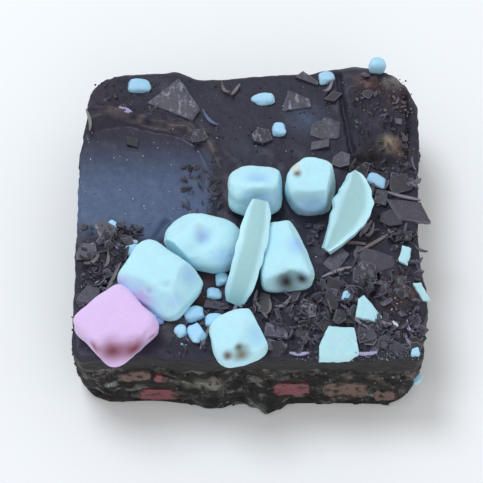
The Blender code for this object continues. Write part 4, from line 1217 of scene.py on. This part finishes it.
class ROCKY_ROAD_OT_poured_layer(bpy.types.Operator):
    """Build the poured dark chocolate over the whole square"""

    bl_idname = "rocky_road.poured_layer"
    bl_label = "Poured chocolate"

    def execute(self, context):
        cell = sizes().cell / MILLIMETRE
        cells = round(SIDE / cell)
        bm = bmesh.new()
        bmesh.ops.create_grid(bm, x_segments=cells, y_segments=cells, size=HALF)
        for vert in bm.verts:
            vert.co.z = HEIGHT
        top_faces = set(bm.faces)
        edges = [edge for edge in bm.edges if edge.is_boundary]
        for z in levels(HEIGHT, SEAM, cell):
            edges = loop_below(bm, edges, z)
        edges = loop_below(bm, edges, SEAM, scale=(HALF - SEAM_MARGIN) / HALF)
        bmesh.ops.contextual_create(bm, geom=edges)
        for vert in bm.verts:
            vert.co = slab_point(vert.co)
        bmesh.ops.recalc_face_normals(bm, faces=bm.faces[:])
        for face in bm.faces:
            face.material_index = int(face not in top_faces)
        cut = (*colours().cut, 0.3)
        paint(bm, lambda vert: cut if top_faces.isdisjoint(vert.link_faces) else top_colour(vert))
        finish_piece(
            "poured_chocolate", bm, (poured_finish(), band_finish()), ["chocolate_top"], "dark_chocolate"
        )
        return {"FINISHED"}


class ROCKY_ROAD_OT_rocky_mix(bpy.types.Operator):
    """Build the craggy mix under the poured chocolate"""

    bl_idname = "rocky_road.rocky_mix"
    bl_label = "Rocky mix"

    def execute(self, context):
        cell = sizes().cell / MILLIMETRE
        bm = bmesh.new()
        bmesh.ops.create_grid(bm, x_segments=1, y_segments=1, size=HALF)
        bmesh.ops.delete(bm, geom=bm.faces[:], context="FACES_ONLY")
        bmesh.ops.subdivide_edges(bm, edges=bm.edges[:], cuts=round(SIDE / cell) - 1)
        for vert in bm.verts:
            vert.co.z = SEAM
        rim = bm.edges[:]
        bmesh.ops.contextual_create(bm, geom=loop_below(bm, rim, SEAM, scale=(HALF - SEAM_MARGIN) / HALF))
        for z in levels(SEAM, 0.0, cell):
            rim = loop_below(bm, rim, z)
        bmesh.ops.contextual_create(bm, geom=rim)
        for vert in bm.verts:
            vert.co = slab_point(vert.co)
        bmesh.ops.recalc_face_normals(bm, faces=bm.faces[:])
        paint(bm, lambda vert: face_colour(vert.co))
        finish = crumb_finish("rocky_mix", 0.9, 0.45, 0.55, 0.35)
        finish_piece("rocky_mix", bm, finish, ["rocky_layer"], "rocky_mix")
        return {"FINISHED"}


class ROCKY_ROAD_OT_marshmallows(bpy.types.Operator):
    """Build the seven marshmallows"""

    bl_idname = "rocky_road.marshmallows"
    bl_label = "Marshmallows"

    def execute(self, context):
        wrinkle = sizes().wrinkle / MILLIMETRE
        white = soft_finish("marshmallow", 2.4, 0.22, 0.62, 0.35, 0.25)
        pink = soft_finish("marshmallow_pink", 2.4, 0.22, 0.62, 0.35, 0.25)
        for number, (name, pixel, height, half, plan, axis, taper, lean, turn) in enumerate(MARSHMALLOWS):
            bm = soft_block(half, plan, axis, taper, 35, number)
            centre = seen_at(pixel, height)
            set_down(bm, centre, lean, turn)
            press_flats(bm, centre, FLATS[name])
            crease(bm, centre, on_skin(bm, DENTS[name]), wrinkle)
            is_pink = name == "marshmallow_pink"
            colour = tuple(colours().pink if is_pink else colours().marshmallow)
            # Paint the real stains together with the painted shade and painted highlights onto the skin.
            paint(bm, stain_and_shade_painter(colour, on_skin(bm, STAINS_SHADE_AND_HIGHLIGHTS[name])))
            bmesh.ops.recalc_face_normals(bm, faces=bm.faces[:])
            slot = "marshmallow_pink" if is_pink else "marshmallow"
            finish_piece(name.replace("marshmallow", "soft"), bm, pink if is_pink else white, [name], slot)
        return {"FINISHED"}


def plate_shape(row, rounding):
    """A broken piece: its upper face, given a thickness downwards, with softened ragged edges."""
    outline, pixel, half_length, half_width, turn, tilt_x, tilt_y, thickness = row
    bm = bmesh.new()
    rim = [bm.verts.new((x * half_length, y * half_width, 0.0)) for x, y in OUTLINES[outline]]
    made = bmesh.ops.extrude_face_region(bm, geom=[bm.faces.new(rim)], use_keep_orig=True)["geom"]
    lower = [item for item in made if isinstance(item, bmesh.types.BMVert)]
    bmesh.ops.translate(bm, vec=(0.0, 0.0, -thickness), verts=lower)
    bmesh.ops.recalc_face_normals(bm, faces=bm.faces[:])
    bmesh.ops.bevel(
        bm, geom=bm.edges[:], offset=rounding, segments=2, profile=0.5, affect="EDGES", material=-1,
    )
    for _ in range(2):
        bmesh.ops.triangulate(bm, faces=[face for face in bm.faces if len(face.verts) > 4])
        long_edges = [edge for edge in bm.edges if edge.calc_length() > LONG_EDGE]
        bmesh.ops.subdivide_edges(bm, edges=long_edges, cuts=2)
    bmesh.ops.triangulate(bm, faces=[face for face in bm.faces if len(face.verts) > 4])
    place = seen_on_top(pixel, SHARD_STANDS * thickness)
    for vert in bm.verts:
        vert.co += RAGGED * noise.noise_vector(vert.co / RAGGED_SIZE + place)
    bmesh.ops.transform(bm, matrix=pose(place, turn, tilt_x, tilt_y, (1.0, 1.0, 1.0)), verts=bm.verts[:])
    bmesh.ops.recalc_face_normals(bm, faces=bm.faces[:])
    return bm


def bent_line(start, middle, end, share):
    """A place on the curve through three points, and the direction of the curve there."""
    start, middle, end = seen_at(*start), seen_at(*middle), seen_at(*end)
    pull = middle * 2.0 - (start + end) / 2.0
    spot = start * (1.0 - share) ** 2 + pull * (2.0 * share * (1.0 - share)) + end * share ** 2
    lead = (pull - start) * (1.0 - share) + (end - pull) * share
    return spot, lead.normalized()


def curl_width(share, half_width, end_width, fullness):
    """Half width of a long shard at a share of its length."""
    return end_width + (half_width - end_width) * (1.0 - abs(2.0 * share - 1.0) ** fullness)


def curled_shape(start, middle, end, half_width, end_width, thickness, rise, roll, fullness):
    """A long bent shard along its middle line, with ragged edges."""
    bm = bmesh.new()
    bmesh.ops.create_grid(bm, x_segments=70, y_segments=20, size=0.5)
    side_layer = bm.verts.layers.float.new("across")
    for vert in bm.verts:
        share = vert.co.x + 0.5
        offset = vert.co.y * 2.0
        vert[side_layer] = offset
        spot, lead = bent_line(start, middle, end, share)
        side = lead.cross(Vector((0.0, 0.0, 1.0))).normalized()
        up = side.cross(lead)
        turn = Matrix.Rotation(math.radians(roll), 3, lead)
        width = curl_width(share, half_width, end_width, fullness)
        width *= 1.0 + 0.12 * noise.noise(Vector((share * 9.0, 3.0 * offset, roll))) * abs(offset)
        vert.co = spot + turn @ (side * offset * width + up * rise * (1.0 - offset * offset))
    bmesh.ops.recalc_face_normals(bm, faces=bm.faces[:])
    bmesh.ops.solidify(bm, geom=bm.faces[:], thickness=thickness)
    bmesh.ops.recalc_face_normals(bm, faces=bm.faces[:])
    return bm


class ROCKY_ROAD_OT_white_chocolate(bpy.types.Operator):
    """Build the shards of white chocolate"""

    bl_idname = "rocky_road.white_chocolate"
    bl_label = "White chocolate"

    def execute(self, context):
        finish = soft_finish("white_chocolate", 1.6, 0.12, 0.4, 0.2, 0.45)
        face, edge = tuple(colours().white_face), tuple(colours().white_edge)
        for name, row in WHITE_SHARDS.items():
            bm = plate_shape(row, 0.2)
            bm.normal_update()
            paint(bm, lambda vert: (*blend(edge, face, ease((vert.normal.z - 0.4) / 0.4) * 0.5), 1.0))
            self.finish(name, bm, finish)
        for name, values in CURLED_SHARDS.items():
            bm = curled_shape(*values)
            across = bm.verts.layers.float["across"]
            paint(bm, lambda vert: (*blend(face, edge, ease((abs(vert[across]) - 0.45) / 0.35)), 1.0))
            self.finish(name, bm, finish)
        return {"FINISHED"}

    @staticmethod
    def finish(name, bm, finish):
        """Give a shard its place among the pieces."""
        finish_piece(name.replace("white_chocolate", "white_shard"), bm, finish, [name], "white_chocolate", 45)


class ROCKY_ROAD_OT_dark_shards(bpy.types.Operator):
    """Build the large shards of dark chocolate"""

    bl_idname = "rocky_road.dark_shards"
    bl_label = "Dark shards"

    def execute(self, context):
        finish = bloom_finish("dark_shard")
        face, edge = tuple(colours().flake), tuple(colours().flake_edge)
        for name, row in DARK_SHARDS.items():
            bm = plate_shape(row, 0.16)
            bm.normal_update()
            bloom = SHARD_BLOOM[name]
            paint(bm, lambda vert: (*blend(edge, face, ease((vert.normal.z - 0.75) / 0.2)), bloom))
            finish_piece(name.replace("dark_shard", "large_flake"), bm, finish, [name], "dark_shard", 45)
        return {"FINISHED"}


def loop_inwards(bm, edges, scale):
    """Pull a new loop of edges out of an upright loop, nearer to its middle."""
    made = bmesh.ops.extrude_edge_only(bm, edges=edges)["geom"]
    for vert in (item for item in made if isinstance(item, bmesh.types.BMVert)):
        vert.co = Vector((vert.co.x * scale, vert.co.y, vert.co.z * scale))
    return [item for item in made if isinstance(item, bmesh.types.BMEdge) and item.is_boundary]


def buried_shape(row, seed):
    """A piece of jelly or biscuit that the knife has cut, in its side of the square."""
    side, place_along, height, half_length, half_height, depth, turn = row
    bm = soft_block((half_length, depth, half_height), 4.5, 4.5, 0.0, 17, seed)
    bmesh.ops.bisect_plane(
        bm, geom=bm.verts[:] + bm.edges[:] + bm.faces[:], plane_co=(0, 0, 0), plane_no=(0, -1, 0),
        clear_outer=True,
    )
    rim = [edge for edge in bm.edges if edge.is_boundary]
    for scale in (0.9, 0.88, 0.86, 0.84, 0.8, 0.75, 0.65, 0.5):
        rim = loop_inwards(bm, rim, scale)
    bmesh.ops.contextual_create(bm, geom=rim)
    for vert in bm.verts:
        shift = Vector((vert.co.x, seed * 9.0, vert.co.z))
        uneven = 0.16 * noise.noise(shift / 2.0)
        if abs(vert.co.y) < 0.01:
            vert.co.y += 0.3 * noise.noise(shift / 0.9) - 0.25 * noise.noise(shift / 2.2)
        vert.co.x *= 1.0 + uneven
        vert.co.z *= 1.0 + uneven
    face = side_place(side, place_along) + BURIED_PROUD
    move = side_turn(side) @ Matrix.Translation((place_along, -face, height))
    move = move @ Matrix.Rotation(math.radians(turn), 4, "Y")
    bmesh.ops.transform(bm, matrix=move, verts=bm.verts[:])
    bmesh.ops.recalc_face_normals(bm, faces=bm.faces[:])
    return bm


class ROCKY_ROAD_OT_buried_pieces(bpy.types.Operator):
    """Build the jelly and biscuit that show in the cut sides"""

    bl_idname = "rocky_road.buried_pieces"
    bl_label = "Jelly and biscuit"

    def execute(self, context):
        finishes = {
            "jelly": crumb_finish("jelly", 1.6, 0.35, 0.3, 0.2, 0.5),
            "biscuit": crumb_finish("biscuit", 0.8, 0.55, 0.75, 0.4, 0.15),
        }
        for number, (name, row) in enumerate(BURIED.items()):
            kind = name.rsplit("_", 1)[0]
            bm = buried_shape(row, number)
            plain = tuple(colours().jelly if kind == "jelly" else colours().biscuit)
            paint(bm, lambda vert: (*self.colour_at(vert.co, plain), 1.0))
            finish_piece(f"cut_{name}", bm, finishes[kind], [name], kind)
        return {"FINISHED"}

    @staticmethod
    def colour_at(place, plain):
        """The plain colour, darker in broad blotches where chocolate clings to the piece."""
        blotch = noise.noise(place / 1.6 + Vector((40.0, 0.0, 0.0)))
        return blend(plain, colours().mix, 0.8 * ease((blotch - 0.05) / 0.3))


def varied(draw, colour, low, high):
    """A colour made lighter or darker at random."""
    share = draw.uniform(low, high)
    return tuple(min(1.0, value * share) for value in colour)


class ROCKY_ROAD_OT_flakes(bpy.types.Operator):
    """Strew broken flakes and shavings of dark chocolate over the top"""

    bl_idname = "rocky_road.flakes"
    bl_label = "Flakes and shavings"

    def execute(self, context):
        draw = random.Random(SEED)
        flakes = [flake_template(draw) for _ in range(16)]
        shavings = [shaving_template(draw) for _ in range(12)]
        thickness = sizes().flake_thickness / MILLIMETRE
        taken = footprints()
        shapes = []
        outlines = {name: outline_template(corners) for name, corners in OUTLINES.items()}
        for outline, pixel, half_length, half_width, turn in NAMED_FLAKES:
            tilts = (draw.uniform(-FLAKE_TILT, FLAKE_TILT), draw.uniform(-FLAKE_TILT, FLAKE_TILT))
            spread = (half_length, half_width, thickness * 1.6)
            move = pose(seen_on_top(pixel, FLAKE_SHOWS), turn, *tilts, spread)
            shapes.append(self.coloured(draw, outlines[outline], move, draw.random() ** 2))
        for pixel, half_length, turn, shade in SHAVINGS:
            spread = (half_length, SHAVING_HALF_WIDTH, thickness)
            move = pose(seen_on_top(pixel, FLAKE_SHOWS), turn, 0.0, draw.uniform(-8, 8), spread)
            tint = (*srgb(*shade), 0.0)
            shapes.append((draw.choice(shavings), move, tint, tint))
        for x_from, x_to, y_from, y_to, count, longest in FLAKE_FIELDS:
            for _ in range(round(count * sizes().fill)):
                x, y = draw.uniform(x_from, x_to), draw.uniform(y_from, y_to)
                if not on_top(x, y) or not clear_of(x, y, taken, 0.2):
                    continue
                half_length = 0.4 + (longest - 0.4) * draw.random() ** 3.0
                is_shaving = draw.random() < 0.6
                template = draw.choice(shavings if is_shaving else flakes)
                half_width = half_length * (draw.uniform(0.12, 0.22) if is_shaving else draw.uniform(0.45, 0.95))
                thick = thickness * draw.uniform(0.5, 1.2) * (0.5 + 0.3 * half_length)
                lift = top_height(x, y) + draw.uniform(0.0, 0.9)
                tilts = (draw.gauss(0, 30), draw.gauss(0, 24))
                move = pose((x, y, lift), draw.uniform(0, 360), *tilts, (half_length, half_width, thick))
                shapes.append(self.coloured(draw, template, move, draw.random() ** 2))
        strewn_piece("flakes", shapes, bloom_finish("flake"), ["chocolate_top"], "dark_chocolate")
        return {"FINISHED"}

    @staticmethod
    def coloured(draw, template, move, bloom):
        """A flake with its own shade, its paler broken rim and its bloom."""
        tones = colours()
        face = varied(draw, tones.flake, 0.4, 1.4)
        rim = blend(face, varied(draw, tones.flake_edge, 0.5, 1.3), draw.uniform(0.0, 0.8))
        return template, move, (*face, bloom), (*rim, bloom)


class ROCKY_ROAD_OT_marshmallow_bits(bpy.types.Operator):
    """Set the small torn bits of marshmallow in their places"""

    bl_idname = "rocky_road.marshmallow_bits"
    bl_label = "Marshmallow bits"

    def execute(self, context):
        draw = random.Random(SEED + 1)
        templates = [block_template(draw, 6) for _ in range(9)]
        shapes = []
        rows = [(*row, None) for row in MALLOW_BITS] + list(PALE_BITS)
        for number, (pixel, half_length, half_width, turn, shade) in enumerate(rows):
            plain = srgb(*shade) if shade else colours().bit
            tint = (*varied(draw, plain, 0.85, 1.05), 1.0)
            place = seen_on_top(pixel, BIT_LIFT * half_width)
            spread = (half_length, half_width, BIT_HEIGHT * half_width)
            move = pose(place, turn, draw.uniform(-15, 15), draw.uniform(-15, 15), spread)
            shapes.append((templates[number % len(templates)], move, tint, tint))
        pixel, above, half = BACK_BIT
        tint = (*colours().bit, 1.0)
        shapes.append((templates[0], pose(seen_on_top(pixel, above), 0.0, 0.0, 0.0, half), tint, tint))
        finish = soft_finish("marshmallow_bit", 1.2, 0.15, 0.6, 0.3)
        strewn_piece("torn_bits", shapes, finish, ["chocolate_top"], "marshmallow", smooth=True)
        (side_y, height), half, turn = CORNER_BIT
        tint = (*colours().bit, 1.0)
        move = pose(slab_point((HALF, side_y, height)), turn, 0.0, 0.0, half)
        strewn_piece(
            "corner_bit", [(templates[0], move, tint, tint)], finish, ["rocky_layer"], "marshmallow", smooth=True
        )
        return {"FINISHED"}


# Crumbs on the top: x from, x to, y from, y to, how many, largest half width, colour on the screen
TOP_CRUMBS = (
    (-39.0, 39.0, -39.0, 38.0, 900, 0.45, (52, 46, 50)),
    (5.0, 39.0, -39.0, -18.0, 420, 0.40, (74, 68, 76)),
    (24.0, 39.0, -18.0, 14.0, 200, 0.40, (80, 72, 78)),
    (-39.0, -26.0, -32.0, -4.0, 160, 0.35, (70, 62, 70)),
    (-41.0, -12.0, -7.0, 26.0, 46, 0.22, (176, 196, 214)),
    (9.0, 39.0, -40.6, -38.6, 260, 0.22, (150, 152, 150)),
    (36.0, 40.0, 2.0, 36.0, 90, 0.45, (126, 112, 98)),
    (26.0, 39.0, 26.0, 38.0, 90, 0.45, (120, 104, 96)),
    (-22.0, -8.0, 22.0, 34.0, 40, 0.35, (128, 116, 108)),
    (-17.0, -9.0, -37.0, -27.0, 40, 0.45, (160, 186, 216)),
    (5.0, 38.0, 20.0, 38.0, 80, 0.25, (112, 110, 122)),
    (32.0, 39.0, -34.0, -24.0, 50, 0.40, (150, 152, 156)),
)

# Crumbs in each cut side: how many, largest half width, colour on the screen
SIDE_CRUMBS = (
    (520, 0.55, (40, 37, 37)),
    (130, 0.50, (92, 86, 80)),
    (60, 0.45, (138, 134, 126)),
    (40, 0.40, (110, 70, 70)),
)


class ROCKY_ROAD_OT_crumbs(bpy.types.Operator):
    """Strew crumbs and dust over the top and bed crumbs in the cut sides"""

    bl_idname = "rocky_road.crumbs"
    bl_label = "Crumbs and dust"

    def execute(self, context):
        draw = random.Random(SEED + 2)
        templates = [crumb_template(draw) for _ in range(12)]
        taken = footprints()
        finish = crumb_finish("crumb", 0.6, 0.35, 0.5, 0.12)
        shapes = []
        for x_from, x_to, y_from, y_to, count, largest, shade in TOP_CRUMBS:
            for _ in range(round(count * sizes().fill)):
                x, y = draw.uniform(x_from, x_to), draw.uniform(y_from, y_to)
                dark = shade[0] < 100
                if not on_top(x, y) or not clear_of(x, y, taken, 0.1) or (dark and in_pool(x, y) > 0.3):
                    continue
                half = largest * (0.25 + 0.75 * draw.random() ** 2)
                shapes.append(self.crumb(draw, templates, (x, y, top_height(x, y) + half * 0.3), half, shade))
        for pixel in SPECKS:
            place = seen_on_top(pixel, SPECK_HALF * 0.5)
            shapes.append(self.crumb(draw, templates, place, SPECK_HALF, (150, 160, 180)))
        strewn_piece("top_crumbs", shapes, finish, ["chocolate_top"], "dark_chocolate")
        shapes = []
        for side in SIDE_TURNS:
            for count, largest, shade in SIDE_CRUMBS:
                for _ in range(round(count * sizes().fill)):
                    spot, out = face_spot(side, draw.uniform(-37.0, 37.0), draw.uniform(0.6, SEAM - 0.4))
                    if near_buried(*spot) > 0.6:
                        continue
                    half = largest * (0.35 + 0.65 * draw.random() ** 2)
                    shapes.append(self.crumb(draw, templates, spot - out * half * 0.2, half, shade))
        strewn_piece("side_crumbs", shapes, finish, ["rocky_layer"], "rocky_mix")
        return {"FINISHED"}

    @staticmethod
    def crumb(draw, templates, place, half, shade):
        """One crumb in its own shade."""
        tint = (*varied(draw, srgb(*shade), 0.6, 1.5), 1.0)
        spread = (half, half * draw.uniform(0.6, 1.0), half * draw.uniform(0.5, 0.9))
        move = pose(place, draw.uniform(0, 360), draw.uniform(-40, 40), draw.uniform(-40, 40), spread)
        return draw.choice(templates), move, tint, tint


PHOTO_WIDTH = 483
SENSOR = 36.0

# Studio light: colour and strength of the sky, and each soft light's place, size, power and colour
SKY = ((0.97, 0.985, 1.0), 0.62)
SOFT_LIGHTS = (
    ("window", (-0.35, 0.35, 1.05), 0.5, 5.6, (0.82, 0.91, 1.0)),
    ("fill", (0.25, -0.9, 0.5), 0.8, 1.3, (1.0, 0.98, 0.96)),
)
FLOOR_WIDTH = 4.0
FLOOR_COLOUR = (0.97, 0.97, 0.97)


class ROCKY_ROAD_OT_stage(bpy.types.Operator):
    """Build the floor, the lights and the camera"""

    bl_idname = "rocky_road.stage"
    bl_label = "Stage"

    def execute(self, context):
        scene = bpy.context.scene
        scene.view_settings.view_transform = "Standard"
        scene.view_settings.look = "None"
        bm = bmesh.new()
        bmesh.ops.create_grid(bm, x_segments=1, y_segments=1, size=FLOOR_WIDTH / 2)
        mesh = bpy.data.meshes.new("floor")
        bm.to_mesh(mesh)
        bm.free()
        floor = bpy.data.objects.new("floor", mesh)
        scene.collection.objects.link(floor)
        finish = bpy.data.materials.new("floor")
        finish.use_nodes = True
        shader = finish.node_tree.nodes["Principled BSDF"]
        shader.inputs["Base Color"].default_value = (*FLOOR_COLOUR, 1.0)
        shader.inputs["Roughness"].default_value = 0.9
        shader.inputs["Specular IOR Level"].default_value = 0.0
        mesh.materials.append(finish)
        world = bpy.data.worlds.new("studio")
        world.use_nodes = True
        colour, strength = SKY
        sky = world.node_tree.nodes["Background"]
        sky.inputs["Color"].default_value = (*colour, 1.0)
        sky.inputs["Strength"].default_value = strength
        scene.world = world
        for name, place, width, power, colour in SOFT_LIGHTS:
            light = bpy.data.lights.new(name, "AREA")
            light.shape = "DISK"
            light.size = width
            light.energy = power
            light.color = colour
            lamp = bpy.data.objects.new(name, light)
            lamp.location = place
            lamp.rotation_euler = (-Vector(place)).to_track_quat("-Z", "Y").to_euler()
            scene.collection.objects.link(lamp)
        lens = bpy.data.cameras.new("camera")
        lens.sensor_width = SENSOR
        lens.lens = SENSOR * FOCAL / PHOTO_WIDTH
        lens.clip_start = 0.01
        camera = bpy.data.objects.new("camera", lens)
        camera.location = Vector(EYE) * MILLIMETRE
        camera.rotation_euler = (math.radians(TILT), 0.0, 0.0)
        scene.collection.objects.link(camera)
        scene.camera = camera
        return {"FINISHED"}


class ROCKY_ROAD_PT_panel(bpy.types.Panel):
    """Lists the pieces and their settings"""

    bl_idname = "ROCKY_ROAD_PT_panel"
    bl_label = "Rocky road"
    bl_space_type = "VIEW_3D"
    bl_region_type = "UI"
    bl_category = "Rocky road"

    def draw(self, context):
        """Show every setting, then a button for each piece."""
        for settings in (sizes(), colours()):
            for name in type(settings).__annotations__:
                self.layout.prop(settings, name)
        for operator in OPERATORS:
            self.layout.operator(operator.bl_idname)


OPERATORS = (
    ROCKY_ROAD_OT_stage,
    ROCKY_ROAD_OT_poured_layer,
    ROCKY_ROAD_OT_rocky_mix,
    ROCKY_ROAD_OT_marshmallows,
    ROCKY_ROAD_OT_white_chocolate,
    ROCKY_ROAD_OT_dark_shards,
    ROCKY_ROAD_OT_buried_pieces,
    ROCKY_ROAD_OT_flakes,
    ROCKY_ROAD_OT_marshmallow_bits,
    ROCKY_ROAD_OT_crumbs,
)
CLASSES = (RoadSizes, RoadColours, *OPERATORS, ROCKY_ROAD_PT_panel)


def register():
    """Add the settings, the operators and the panel."""
    for one in CLASSES:
        bpy.utils.register_class(one)
    bpy.types.Scene.rocky_road_sizes = bpy.props.PointerProperty(type=RoadSizes)
    bpy.types.Scene.rocky_road_colours = bpy.props.PointerProperty(type=RoadColours)


def unregister():
    """Take them away again."""
    del bpy.types.Scene.rocky_road_colours
    del bpy.types.Scene.rocky_road_sizes
    for one in reversed(CLASSES):
        bpy.utils.unregister_class(one)


def main():
    """Build every piece."""
    register()
    for operator in OPERATORS:
        group, name = operator.bl_idname.split(".")
        getattr(getattr(bpy.ops, group), name)()


if __name__ == "__main__":
    main()
